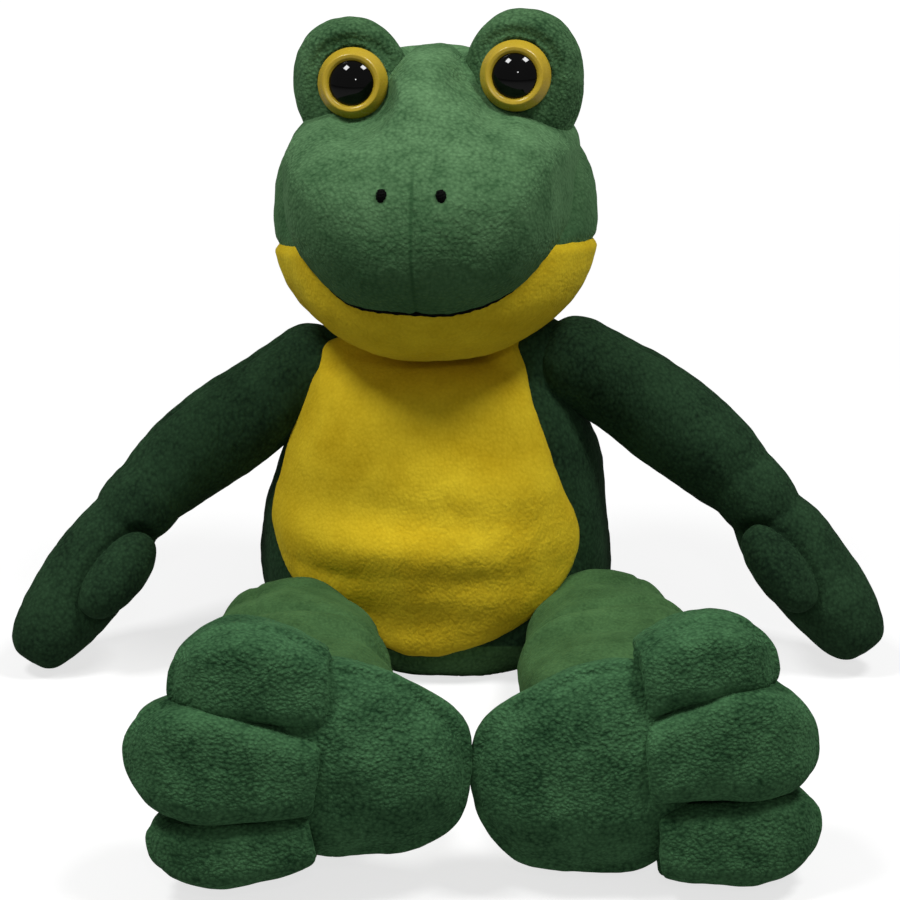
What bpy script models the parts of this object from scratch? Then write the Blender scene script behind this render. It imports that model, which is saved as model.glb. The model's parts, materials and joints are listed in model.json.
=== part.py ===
"""A plush frog, sitting: stuffed head and body, bean-filled seat, floppy limbs and big three-toed feet.

Metres, +Z up. The origin is the middle of the seat, on the floor. The frog faces -Y.
Left and right are the frog's own, so its left is at +X.
"""

import math

import bmesh
import bpy
from mathutils import Matrix, Vector

LEFT, RIGHT = 1, -1
SIDE_NAMES = {LEFT: "left", RIGHT: "right"}

# Cloth, gaps and rounding that every piece shares
CLOTH = 0.0020
SEAM_GAP = 0.0004
JOINT_GAP = 0.0007
ARM_ROOM = 0.0020
CUT_OVERRUN = 0.020

# a form that swells evenly from end to end
EVEN_SHARES = ((0.0, 1.0, 1.0, 1.0), (1.0, 1.0, 1.0, 1.0))

# How the frog sits: turns about the upright, and the head's lean to one side
TORSO_TURN = math.radians(-13.0)
HEAD_TURN = math.radians(3.5)
HEAD_LEAN = math.radians(-4.1)

# Torso: a pear on a flat seat
TORSO_HEIGHT = 0.0910
TORSO_HALF_WIDTH = 0.0554
TORSO_SHIFT = -0.0012
TORSO_FRONT = 0.0450
TORSO_BACK = 0.0420
TORSO_FULLNESS = 0.25
SEAT_SINK = 0.0060
# share of height, then shares of half width, front and back
TORSO_SHARES = (
    (0.00, 1.06, 1.04, 1.02),
    (0.16, 1.06, 1.10, 1.04),
    (0.30, 1.00, 1.04, 1.00),
    (0.62, 0.89, 0.88, 0.86),
    (0.82, 0.86, 0.78, 0.80),
    (1.00, 0.92, 0.76, 0.80),
)
BELLY_DROP = 0.0015
BELLY_TOP = TORSO_HEIGHT - BELLY_DROP
BELLY_LOW = 0.0090
BELLY_HALF_WIDTH = 0.0460
BELLY_SHIFT_LOW = -0.0005
BELLY_SHIFT_TOP = -0.0060
# share of the panel's height, share of its half width
BELLY_SHARES = (
    (0.00, 0.10),
    (0.06, 0.44),
    (0.20, 0.82),
    (0.38, 1.00),
    (0.60, 0.91),
    (0.80, 0.78),
    (1.00, 0.65),
)
POUCH_TOP = 0.0440

# Neck: a ball of stuffing in two shallow cups
NECK_RADIUS = 0.0130
NECK_STAND = 0.0020
NECK_HEIGHT = TORSO_HEIGHT + NECK_STAND
NECK_BACK = 0.0060
NECK_SIDE = 0.0004

# Head, measured from the neck's middle
HEAD_LOW = -0.0010
HEAD_HEIGHT = 0.0860
HEAD_HALF_WIDTH = 0.0475
HEAD_FRONT = 0.0500
HEAD_BACK = 0.0400
HEAD_FORWARD = 0.0040
HEAD_FULLNESS = 0.30
HEAD_SHARES = (
    (0.00, 0.96, 1.04, 0.78),
    (0.22, 1.00, 1.04, 0.90),
    (0.42, 1.00, 0.92, 1.00),
    (0.62, 0.97, 0.80, 1.00),
    (0.82, 0.86, 0.66, 0.92),
    (1.00, 0.72, 0.52, 0.80),
)

# Muzzle and forehead: one pale panel over the front of the head
MUZZLE_LOW = 0.0140
MUZZLE_HEIGHT = 0.0695
MUZZLE_HALF_WIDTH = 0.0405
MUZZLE_FRONT = 0.0575
MUZZLE_ROOT = 0.0150
MUZZLE_SMILE = 0.0150
MUZZLE_LAP = 0.0055
MUZZLE_FULLNESS = 0.19
MUZZLE_SQUARE = 1.30
MUZZLE_TILT = math.radians(2.8)
MUZZLE_TILT_RISE = 0.0420
MUZZLE_SHARES = (
    (0.00, 1.00, 1.00, 1.0),
    (0.20, 1.04, 1.02, 1.0),
    (0.42, 1.02, 1.00, 1.0),
    (0.62, 0.98, 0.92, 1.0),
    (0.80, 0.80, 0.80, 1.0),
    (1.00, 0.44, 0.60, 1.0),
)

# Jaw: the yellow bowl under the mouth
MOUTH_RISE = 0.0405
MOUTH_SLOPE = math.radians(-12.0)
MOUTH_LEAN = math.radians(1.5)
JAW_BACK = 0.0040
THREAD_RADIUS = 0.0008
THREAD_DROP = 0.0012
THREAD_REACH = math.radians(38.0)
# the mouth is looked for between these shares of the muzzle's height, by halving
LOWEST_SHARE, MIDDLE_SHARE = 0.01, 0.50
HALVINGS = 24

# Nostrils: two small satin-stitched ovals
NOSTRIL_SIDE = 0.0082
NOSTRIL_RISE = 0.0568
NOSTRIL_HALF_WIDTH = 0.0020
NOSTRIL_HALF_HEIGHT = 0.0029
NOSTRIL_PROUD = 0.0010

# Eye mounds: two stuffed pockets on top of the head
MOUND_SIDE = 0.0241
MOUND_SHIFT = 0.0036
MOUND_FORWARD = 0.0050
MOUND_RISE = 0.0740
MOUND_HALF_WIDTH = 0.0172
MOUND_HALF_DEPTH = 0.0135
MOUND_HALF_HEIGHT = 0.0215
MOUND_SPREAD = math.radians(9.0)
MOUND_FULLNESS = 0.42

# Safety eyes: a yellow disc with a shank, a black dome and a lock washer
EYE_SIDE = 0.0230
EYE_SHIFT = 0.0038
EYE_FORWARD = 0.0150
EYE_RISE = 0.0788
EYE_TILT = math.radians(-13.0)
IRIS_RADIUS = 0.0100
IRIS_DEPTH = 0.0050
IRIS_EDGE = 0.0014
PUPIL_RADIUS = 0.0061
PUPIL_SEAT = 0.0018
PUPIL_DOME = 0.0032
SHANK_RADIUS = 0.0022
SHANK_LENGTH = 0.0100
WASHER_RADIUS = 0.0062
WASHER_DEPTH = 0.0014
MOUND_WALL = 0.0045

# Arms, from the shoulder's middle
SHOULDER_RADIUS = 0.0142
SHOULDER_SIDE = 0.0395
SHOULDER_BACK = 0.0020
UPPER_ARM_LENGTH = 0.0631
UPPER_ARM_HALF_HEIGHT = 0.0147
UPPER_ARM_HALF_DEPTH = 0.0140
UPPER_ARM_START = 0.0020
UPPER_ARM_BOWS = {LEFT: 0.0026, RIGHT: 0.0012}
LIMB_FULLNESS = 0.16
UPPER_ARM_SHARES = (
    (0.00, 0.94, 0.98, 0.98),
    (0.20, 0.97, 1.00, 1.00),
    (0.40, 0.97, 0.98, 0.98),
    (0.72, 0.92, 0.90, 0.90),
    (1.00, 0.80, 0.80, 0.80),
)
ELBOW_RADIUS = 0.0100
ELBOW_HALF_DEPTH = 0.0115
FOREARM_LENGTH = 0.0570
FOREARM_START = -0.0010
FOREARM_HALF_HEIGHT = 0.0136
FOREARM_HALF_DEPTH = 0.0125
FOREARM_FULLNESS = 0.25
FOREARM_SHARES = (
    (0.00, 1.00, 0.92, 0.92),
    (0.25, 1.00, 0.98, 0.98),
    (0.55, 0.97, 1.00, 1.00),
    (1.00, 0.88, 0.86, 0.86),
)
THUMB_LENGTH = 0.0280
THUMB_RADIUS = 0.0080
THUMB_PLACE = 0.0130
THUMB_DROP = 0.0040
THUMB_PROUD = 0.0085
THUMB_FULLNESS = 0.35
THUMB_SHARES = ((0.00, 0.90, 0.90, 0.90), (0.50, 1.00, 1.00, 1.00), (1.00, 0.92, 0.92, 0.92))

# Legs, from the hip's middle
HIP_RADIUS = 0.0160
HIP_HALF_WIDTH = 0.0225
HIP_SIDE = 0.0455
HIP_FORWARD = 0.0360
HIP_HEIGHT = 0.0170
ANKLE_SIDE = 0.0330
ANKLE_FORWARD = 0.1420
ANKLE_HEIGHT = 0.0260
ANKLE_RADIUS = 0.0145
ANKLE_HALF_WIDTH = 0.0170
LEG_HALF_WIDTH = 0.0252
LEG_HALF_HEIGHT = 0.0168
LEG_OUTWARD = 0.0050
LEG_SHARES = (
    (0.00, 0.98, 0.98, 0.98),
    (0.20, 1.00, 1.00, 1.00),
    (0.45, 1.00, 1.00, 1.00),
    (0.75, 0.84, 0.88, 0.88),
    (1.00, 0.60, 0.76, 0.76),
)

# Feet: a fan-shaped pad that stands on its edge, sole forwards, with three toes pointing outwards
FOOT_LEAN = math.radians(-9.0)
FOOT_ROLLS = {LEFT: math.radians(-1.2), RIGHT: math.radians(-2.5)}
FOOT_HEEL = 0.0004
FOOT_RISES = {LEFT: -0.0014, RIGHT: 0.0044}
FOOT_FORWARD = 0.1660
HEEL_RISES = {LEFT: 0.0275, RIGHT: 0.0290}
BALL_RISE = 0.0360
BALL_PLACE = 0.0360
PAD_LENGTH = 0.0660
PAD_HALF_HEIGHTS = {LEFT: 0.0322, RIGHT: 0.0298}
PAD_HALF_DEPTH = 0.0145
PAD_FULLNESS = 0.36
PAD_SHARES = (
    (0.00, 0.86, 0.98, 0.98),
    (0.27, 0.82, 0.96, 0.96),
    (0.55, 0.92, 1.00, 1.00),
    (1.00, 1.00, 1.00, 1.00),
)
# name, root height, tip height, half height, half depth and how far it stands forwards
TOE_ROOT = 0.0260
TOE_FULLNESS = 0.34
TOES = (
    ("middle", 0.0318, 0.0368, 0.0183, 0.0170, 0.0010),
    ("upper", 0.0525, 0.0595, 0.0140, 0.0145, 0.0000),
    ("lower", 0.0122, 0.0115, 0.0108, 0.0145, 0.0000),
)
# how far each toe reaches from the heel, left and right
TOE_REACHES = {
    "middle": {LEFT: 0.0872, RIGHT: 0.0864},
    "upper": {LEFT: 0.0768, RIGHT: 0.0728},
    "lower": {LEFT: 0.0870, RIGHT: 0.0822},
}
TOE_SHARES = ((0.00, 0.98, 0.98, 0.98), (0.45, 1.00, 1.00, 1.00), (1.00, 0.96, 0.94, 0.94))

# Arms: shoulder height, then drop below level, swing forwards, elbow bend and elbow swing
ARM_POSES = {
    LEFT: tuple(math.radians(angle) for angle in (35.1, 1.0, 17.0, 10.0)),
    RIGHT: tuple(math.radians(angle) for angle in (32.0, 31.5, 16.3, 8.5)),
}
SHOULDER_HEIGHTS = {LEFT: TORSO_HEIGHT - 0.0042, RIGHT: TORSO_HEIGHT - 0.0105}

# Pieces that the exact solver empties part way through their cuts
MANIFOLD_PIECES = ("torso_back", "belly_panel", "head_stuffing", "muzzle")

# Base colour and roughness of each stuff
DARK_PLUSH = ("dark plush", (0.010, 0.068, 0.026), 0.95)
MID_PLUSH = ("mid plush", (0.018, 0.120, 0.048), 0.95)
PALE_PLUSH = ("pale plush", (0.038, 0.170, 0.075), 0.95)
YELLOW_PLUSH = ("yellow plush", (0.760, 0.490, 0.015), 0.95)
WADDING = ("white wadding", (0.820, 0.820, 0.800), 1.0)
POUCH_CLOTH = ("pouch cloth", (0.600, 0.580, 0.520), 0.9)
YELLOW_PLASTIC = ("yellow plastic", (0.800, 0.480, 0.010), 0.18)
BLACK_PLASTIC = ("black plastic", (0.004, 0.004, 0.005), 0.06)
WASHER_PLASTIC = ("washer plastic", (0.700, 0.700, 0.680), 0.4)
BLACK_THREAD = ("black thread", (0.006, 0.006, 0.006), 0.7)


def clear_scene():
    for thing in list(bpy.data.objects):
        bpy.data.objects.remove(thing)


def material(stuff):
    """The Principled material of one stuff, made once."""
    name, colour, roughness = stuff
    found = bpy.data.materials.get(name)
    if found:
        return found
    made = bpy.data.materials.new(name)
    made.use_nodes = True
    shader = made.node_tree.nodes["Principled BSDF"]
    shader.inputs["Base Color"].default_value = (*colour, 1.0)
    shader.inputs["Roughness"].default_value = roughness
    shader.inputs["Metallic"].default_value = 0.0
    made.diffuse_color = (*colour, 1.0)
    return made


def pivot(name, parent=None, at=(0, 0, 0), turn=(0, 0, 0)):
    """An empty that carries a group of pieces or marks a joint."""
    empty = bpy.data.objects.new(name, None)
    bpy.context.scene.collection.objects.link(empty)
    empty.parent = parent
    empty.location = at
    empty.rotation_euler = turn
    return empty


def add(name, mesh, stuff, parent, at=(0, 0, 0)):
    """A finished piece: its mesh, its own material and its place under a pivot."""
    piece = bpy.data.objects.new(name, mesh)
    bpy.context.scene.collection.objects.link(piece)
    mesh.materials.append(material(stuff))
    mesh.shade_smooth()
    mesh.set_sharp_from_angle(angle=math.radians(40.0))
    piece.parent = parent
    piece.location = at
    return piece


def cutter(name, mesh, parent, at=(0, 0, 0)):
    """A helper solid that only cuts others, kept out of the finished toy."""
    helper = bpy.data.objects.new("cut_" + name, mesh)
    bpy.context.scene.collection.objects.link(helper)
    helper.parent = parent
    helper.location = at
    helper.hide_render = True
    helper.display_type = "WIRE"
    return helper


def boolean(piece, other, operation="DIFFERENCE"):
    """Cuts a piece by a helper, or keeps only what lies inside it."""
    change = piece.modifiers.new(operation.title() + " " + other.name, "BOOLEAN")
    change.operation = operation
    change.solver = "MANIFOLD" if piece.name in MANIFOLD_PIECES else "EXACT"
    change.object = other
    return piece


def row_at(rows, share):
    """The values of a table of shares at one share, on a smooth curve through its rows."""
    share = min(max(share, rows[0][0]), rows[-1][0])
    place = max(i for i in range(len(rows) - 1) if rows[i][0] <= share)
    before, start = rows[max(place - 1, 0)], rows[place]
    end, after = rows[place + 1], rows[min(place + 2, len(rows) - 1)]
    span = end[0] - start[0]
    t = (share - start[0]) / span
    values = []
    for k in range(1, len(start)):
        slope_in = (end[k] - before[k]) / (end[0] - before[0]) * span
        slope_out = (after[k] - start[k]) / (after[0] - start[0]) * span
        values.append(
            (2 * t**3 - 3 * t**2 + 1) * start[k]
            + (t**3 - 2 * t**2 + t) * slope_in
            + (3 * t**2 - 2 * t**3) * end[k]
            + (t**3 - t**2) * slope_out
        )
    return values


def signed_power(value, power):
    return math.copysign(abs(value) ** power, value)


def mesh_of_rings(name, rings, low_end, high_end, mirrored=False):
    """A closed mesh through rings of points that starts and ends in a single point."""
    form = bmesh.new()
    loops = [[form.verts.new(point) for point in ring] for ring in rings]
    count = len(loops[0])
    first, last = form.verts.new(low_end), form.verts.new(high_end)
    for low, high in zip(loops, loops[1:]):
        for i in range(count):
            j = (i + 1) % count
            form.faces.new((low[i], low[j], high[j], high[i]))
    for i in range(count):
        j = (i + 1) % count
        form.faces.new((first, loops[0][j], loops[0][i]))
        form.faces.new((last, loops[-1][i], loops[-1][j]))
    if mirrored:
        bmesh.ops.scale(form, vec=(-1, 1, 1), verts=form.verts)
    bmesh.ops.recalc_face_normals(form, faces=form.faces)
    made = bpy.data.meshes.new(name)
    form.to_mesh(made)
    form.free()
    return made


def swelling(
    name, start, end, sides, shares, fullness=0.5, square=1.0, rings=12, around=24, grow=0.0,
    cross=Vector((1, 0, 0)), bow=Vector((0, 0, 0)), mirrored=False, warp=None,
):
    """A stuffed form along a line: it closes round at both ends and swells by its table of shares.

    sides are the half sizes along cross, then to the front and to the back of it. A fullness
    under 0.5 makes blunter ends, a square over 1 boxier sections, and grow a cutter a gap larger.
    """
    start, end = Vector(start), Vector(end)
    along = (end - start).normalized()
    side = (cross - along * cross.dot(along)).normalized()
    depth = along.cross(side)
    start, end = start - along * grow, end + along * grow
    loops = []
    for i in range(1, rings):
        turn = math.pi * i / rings
        share = (1 - math.cos(turn)) / 2
        swell = math.sin(turn) ** (2 * fullness)
        width, front, back = row_at(shares, share)
        middle = start.lerp(end, share) + bow * math.sin(turn) ** 2
        loop = []
        for j in range(around):
            angle = 2 * math.pi * j / around
            across = signed_power(math.cos(angle), 1 / square)
            deep = signed_power(math.sin(angle), 1 / square)
            depth_size = sides[1] * front if deep < 0 else sides[2] * back
            point = (
                middle
                + side * across * (sides[0] * width * swell + grow)
                + depth * deep * (depth_size * swell + grow)
            )
            loop.append(warp(point) if warp else point)
        loops.append(loop)
    ends = [warp(point) if warp else point for point in (start, end)]
    return mesh_of_rings(name, loops, ends[0], ends[1], mirrored)


def knuckle(name, radius, half_length, hinge, around=18, rings=9):
    """A rounded barrel about a hinge's axis, which turns in its own hollow without touching it."""
    hinge = Vector(hinge)
    first = hinge.orthogonal().normalized()
    second = hinge.cross(first)
    loops = []
    for i in range(1, rings):
        turn = math.pi * i / rings
        loops.append(
            [
                -hinge * half_length * math.cos(turn)
                + first * radius * math.sin(turn) * math.cos(2 * math.pi * j / around)
                + second * radius * math.sin(turn) * math.sin(2 * math.pi * j / around)
                for j in range(around)
            ]
        )
    return mesh_of_rings(name, loops, -hinge * half_length, hinge * half_length)


def ball(name, radius):
    """A sphere with its poles up and down."""
    return knuckle(name, radius, radius, (0, 0, 1))


def turned(name, profile, around=18):
    """A round piece about the Y axis, from (radius, place along Y) points between two on the axis."""
    loops = [
        [
            (radius * math.cos(2 * math.pi * j / around), along, radius * math.sin(2 * math.pi * j / around))
            for j in range(around)
        ]
        for radius, along in profile[1:-1]
    ]
    return mesh_of_rings(name, loops, (0, profile[0][1], 0), (0, profile[-1][1], 0))


def ring_turned(name, inner, outer, near, far, around=18):
    """A flat ring about the Y axis."""
    form = bmesh.new()
    corners = ((inner, near), (outer, near), (outer, far), (inner, far))
    loops = [
        [
            form.verts.new((r * math.cos(turn), y, r * math.sin(turn)))
            for turn in (2 * math.pi * j / around for j in range(around))
        ]
        for r, y in corners
    ]
    for k in range(len(loops)):
        here, there = loops[k], loops[(k + 1) % len(loops)]
        for j in range(around):
            n = (j + 1) % around
            form.faces.new((here[j], here[n], there[n], there[j]))
    bmesh.ops.recalc_face_normals(form, faces=form.faces)
    made = bpy.data.meshes.new(name)
    form.to_mesh(made)
    form.free()
    return made


def block(name, low, high):
    """A box between two corners, for cutting along a plane."""
    form = bmesh.new()
    bmesh.ops.create_cube(form, size=1)
    low, high = Vector(low), Vector(high)
    for corner in form.verts:
        corner.co = Vector((l + (h - l) * (c + 1 / 2) for l, h, c in zip(low, high, corner.co)))
    made = bpy.data.meshes.new(name)
    form.to_mesh(made)
    form.free()
    return made


def cut_flat(mesh, height):
    """Slices a form's underside off level and closes it, so that it sits flat."""
    form = bmesh.new()
    form.from_mesh(mesh)
    everything = form.verts[:] + form.edges[:] + form.faces[:]
    bmesh.ops.bisect_plane(
        form, geom=everything, plane_co=(0, 0, height), plane_no=(0, 0, -1), clear_outer=True
    )
    bmesh.ops.holes_fill(form, edges=[edge for edge in form.edges if edge.is_boundary])
    bmesh.ops.recalc_face_normals(form, faces=form.faces)
    form.to_mesh(mesh)
    form.free()
    return mesh


def torso_form(name, grow=0.0):
    """The pear of the torso; its seat is level with the floor unless it is a grown or shrunk copy."""
    return swelling(
        name,
        (TORSO_SHIFT, 0, -SEAT_SINK),
        (TORSO_SHIFT, 0, TORSO_HEIGHT),
        (TORSO_HALF_WIDTH, TORSO_FRONT, TORSO_BACK),
        TORSO_SHARES,
        fullness=TORSO_FULLNESS,
        rings=10,
        around=22,
        grow=grow,
    )


def belly_prism(name, shrink):
    """The belly panel's outline, pushed through the front half of the torso."""
    steps = 14
    right, left = [], []
    for i in range(steps + 1):
        share = i / steps
        shift = BELLY_SHIFT_LOW + (BELLY_SHIFT_TOP - BELLY_SHIFT_LOW) * share
        width = BELLY_HALF_WIDTH * row_at(BELLY_SHARES, share)[0] - shrink
        height = BELLY_LOW + shrink + (BELLY_TOP - BELLY_LOW - 2 * shrink) * share
        right.append((shift + width, height))
        left.append((shift - width, height))
    outline = right + left[::-1]
    form = bmesh.new()
    near = [form.verts.new((x, -TORSO_FRONT - CUT_OVERRUN, z)) for x, z in outline]
    face = form.faces.new(near)
    pushed = bmesh.ops.extrude_face_region(form, geom=[face])
    moved = [thing for thing in pushed["geom"] if isinstance(thing, bmesh.types.BMVert)]
    bmesh.ops.translate(form, verts=moved, vec=(0, TORSO_FRONT + CUT_OVERRUN, 0))
    bmesh.ops.recalc_face_normals(form, faces=form.faces)
    made = bpy.data.meshes.new(name)
    form.to_mesh(made)
    form.free()
    return made


def head_form(name, grow=0.0):
    """The skull of the head, wide and a little flattened."""
    return swelling(
        name,
        (0, -HEAD_FORWARD, HEAD_LOW),
        (0, -HEAD_FORWARD, HEAD_LOW + HEAD_HEIGHT),
        (HEAD_HALF_WIDTH, HEAD_FRONT, HEAD_BACK),
        HEAD_SHARES,
        fullness=HEAD_FULLNESS,
        rings=10,
        around=22,
        grow=grow,
    )


def tilt(point):
    """Turns a place on the face level again, because the head leans more than the muzzle does."""
    middle = Vector((0, 0, MUZZLE_TILT_RISE))
    return middle + Matrix.Rotation(MUZZLE_TILT, 3, "Y") @ (point - middle)


def smile(point):
    """Lifts the muzzle's lower edge towards the mouth's corners, and tilts the muzzle."""
    share = (point.z - MUZZLE_LOW) / MUZZLE_HEIGHT
    lift = MUZZLE_SMILE * (point.x / MUZZLE_HALF_WIDTH) ** 2 * max(0.0, 1 - share)
    return tilt(point + Vector((0, 0, lift)))


def muzzle_form(name, grow=0.0):
    """The pale front of the head, from the mouth up between the eyes."""
    return swelling(
        name,
        (0, -HEAD_FORWARD, MUZZLE_LOW),
        (0, -HEAD_FORWARD, MUZZLE_LOW + MUZZLE_HEIGHT),
        (MUZZLE_HALF_WIDTH, MUZZLE_FRONT, MUZZLE_ROOT),
        MUZZLE_SHARES,
        fullness=MUZZLE_FULLNESS,
        square=MUZZLE_SQUARE,
        rings=10,
        around=24,
        grow=grow,
        warp=smile,
    )


def muzzle_depth(side, rise):
    """How far forwards the muzzle reaches at a place on its front, worked out from its own form."""
    share = (rise - MUZZLE_LOW) / MUZZLE_HEIGHT
    swell = (2 * math.sqrt(share * (1 - share))) ** (2 * MUZZLE_FULLNESS)
    width, front, _ = row_at(MUZZLE_SHARES, share)
    across = abs(side) / (MUZZLE_HALF_WIDTH * width * swell)
    deep = (1 - across ** (2 * MUZZLE_SQUARE)) ** (1 / (2 * MUZZLE_SQUARE))
    return HEAD_FORWARD + MUZZLE_FRONT * front * swell * deep


def reach_of(turn, across, deep, square):
    """How far a boxy oval reaches in one direction from its middle."""
    power = 2 * square
    parts = abs(math.cos(turn) / across) ** power + abs(math.sin(turn) / deep) ** power
    return parts ** (-1 / power)


def mouth_point(turn):
    """Where the muzzle comes out of the head in one direction, measured from straight forwards."""
    low, high = LOWEST_SHARE, MIDDLE_SHARE
    for _ in range(HALVINGS):
        share = (low + high) / 2
        width, front, _ = row_at(MUZZLE_SHARES, share)
        swell = (2 * math.sqrt(share * (1 - share))) ** (2 * MUZZLE_FULLNESS)
        reach = reach_of(
            math.pi / 2 + turn, MUZZLE_HALF_WIDTH * width * swell, MUZZLE_FRONT * front * swell, MUZZLE_SQUARE
        )
        point = smile(
            Vector(
                (
                    reach * math.sin(turn),
                    -HEAD_FORWARD - reach * math.cos(turn),
                    MUZZLE_LOW + MUZZLE_HEIGHT * share,
                )
            )
        )
        head_share = (point.z - HEAD_LOW) / HEAD_HEIGHT
        width, front, _ = row_at(HEAD_SHARES, head_share)
        swell = (2 * math.sqrt(head_share * (1 - head_share))) ** (2 * HEAD_FULLNESS)
        outwards = Vector((point.x, -HEAD_FORWARD - point.y))
        heading = math.atan2(outwards.x, outwards.y)
        skull = reach_of(
            math.pi / 2 + heading, HEAD_HALF_WIDTH * width * swell, HEAD_FRONT * front * swell, 1.0
        )
        if outwards.length > skull:
            high = share
        else:
            low = share
    return point - Vector((0, 0, THREAD_DROP))


def thread_form(name, grow=0.0):
    """A thick thread that follows the mouth from one cheek to the other."""
    steps, around = 18, 8
    reach = THREAD_REACH + grow / HEAD_FRONT
    line = [mouth_point(reach * (2 * i / steps - 1)) for i in range(steps + 1)]
    loops = []
    for before, point, after in zip(line, line[1:], line[2:]):
        along = (after - before).normalized()
        upright = (Vector((0, 0, 1)) - along * along.z).normalized()
        outwards = along.cross(upright)
        loops.append(
            [
                point
                + (THREAD_RADIUS + grow)
                * (
                    outwards * math.cos(2 * math.pi * j / around)
                    + upright * math.sin(2 * math.pi * j / around)
                )
                for j in range(around)
            ]
        )
    return mesh_of_rings(name, loops, line[0], line[-1])


def mound_form(name, side, grow=0.0):
    """One stuffed pocket behind an eye, leaning outwards."""
    lean = Vector((math.sin(MOUND_SPREAD), 0, math.cos(MOUND_SPREAD)))
    middle = Vector((MOUND_SIDE + side * MOUND_SHIFT, -MOUND_FORWARD, MOUND_RISE))
    return swelling(
        name,
        middle - lean * MOUND_HALF_HEIGHT,
        middle + lean * MOUND_HALF_HEIGHT,
        (MOUND_HALF_WIDTH, MOUND_HALF_DEPTH, MOUND_HALF_DEPTH),
        EVEN_SHARES,
        fullness=MOUND_FULLNESS,
        rings=8,
        around=16,
        grow=grow,
        mirrored=side == RIGHT,
    )


def make_torso(body):
    outer_cut = cutter("torso_inside", cut_flat(torso_form("torso_inside", -CLOTH), CLOTH), body)
    window = cutter("belly_window", belly_prism("belly_window", -SEAM_GAP / 2), body)
    patch = cutter("belly_patch", belly_prism("belly_patch", SEAM_GAP / 2), body)
    back = add("torso_back", cut_flat(torso_form("torso_back"), 0), DARK_PLUSH, body)
    boolean(boolean(back, outer_cut), window)
    belly = add("belly_panel", cut_flat(torso_form("belly_panel"), 0), YELLOW_PLUSH, body)
    boolean(boolean(belly, outer_cut), patch, "INTERSECT")
    reach = TORSO_HALF_WIDTH + CUT_OVERRUN
    above = block("above", (-reach, -reach, POUCH_TOP + SEAM_GAP), (reach, reach, TORSO_HEIGHT + CUT_OVERRUN))
    below = block("below", (-reach, -reach, -CUT_OVERRUN), (reach, reach, POUCH_TOP))
    inside = CLOTH + SEAM_GAP
    filling = [cut_flat(torso_form("filling", -inside), inside) for _ in range(2)]
    stuffing = add("torso_stuffing", filling[0], WADDING, body)
    boolean(stuffing, cutter("above", above, body), "INTERSECT")
    pouch = add("bean_pouch", filling[1], POUCH_CLOTH, body)
    boolean(pouch, cutter("below", below, body), "INTERSECT")
    return [back, belly, stuffing, pouch]


def make_eye(side, head, carriers):
    """A safety eye in its seat; its shank goes through the mound's cloth into a lock washer."""
    name = SIDE_NAMES[side]
    seat = pivot(
        "eye_seat_" + name,
        head,
        (side * EYE_SIDE + EYE_SHIFT, -EYE_FORWARD, EYE_RISE),
        (EYE_TILT, 0, 0),
    )
    bed = IRIS_DEPTH - PUPIL_SEAT
    iris = turned(
        "iris",
        (
            (0, SHANK_LENGTH),
            (SHANK_RADIUS, SHANK_LENGTH),
            (SHANK_RADIUS, 0),
            (IRIS_RADIUS - IRIS_EDGE, 0),
            (IRIS_RADIUS, -IRIS_EDGE),
            (IRIS_RADIUS, -IRIS_DEPTH + 2 * IRIS_EDGE),
            (IRIS_RADIUS - IRIS_EDGE / 2, -IRIS_DEPTH + IRIS_EDGE / 2),
            (IRIS_RADIUS - 3 / 2 * IRIS_EDGE, -IRIS_DEPTH),
            (PUPIL_RADIUS + SEAM_GAP, -IRIS_DEPTH),
            (PUPIL_RADIUS + SEAM_GAP, -bed),
            (0, -bed),
        ),
    )
    add("eye_iris_" + name, iris, YELLOW_PLASTIC, seat)
    dome = [
        (PUPIL_RADIUS * math.cos(turn), -bed - PUPIL_SEAT - PUPIL_DOME * math.sin(turn))
        for turn in (math.radians(angle) for angle in (0, 22, 44, 66))
    ]
    pupil = turned(
        "pupil",
        [(0, -bed - SEAM_GAP), (PUPIL_RADIUS, -bed - SEAM_GAP), *dome, (0, -bed - PUPIL_SEAT - PUPIL_DOME)],
    )
    add("eye_pupil_" + name, pupil, BLACK_PLASTIC, seat)
    washer_near = MOUND_WALL + SEAM_GAP
    washer = ring_turned(
        "washer", SHANK_RADIUS + SEAM_GAP, WASHER_RADIUS, washer_near, washer_near + WASHER_DEPTH
    )
    add("eye_washer_" + name, washer, WASHER_PLASTIC, seat)
    recess = turned(
        "eye_recess",
        (
            (0, SHANK_LENGTH + SEAM_GAP),
            (WASHER_RADIUS + SEAM_GAP, SHANK_LENGTH + SEAM_GAP),
            (WASHER_RADIUS + SEAM_GAP, MOUND_WALL),
            (SHANK_RADIUS + SEAM_GAP, MOUND_WALL),
            (SHANK_RADIUS + SEAM_GAP, SEAM_GAP),
            (IRIS_RADIUS + SEAM_GAP, SEAM_GAP),
            (IRIS_RADIUS + SEAM_GAP, -CUT_OVERRUN),
            (0, -CUT_OVERRUN),
        ),
    )
    room = cutter("eye_recess_" + name, recess, seat)
    for piece in carriers:
        boolean(piece, room)


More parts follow.
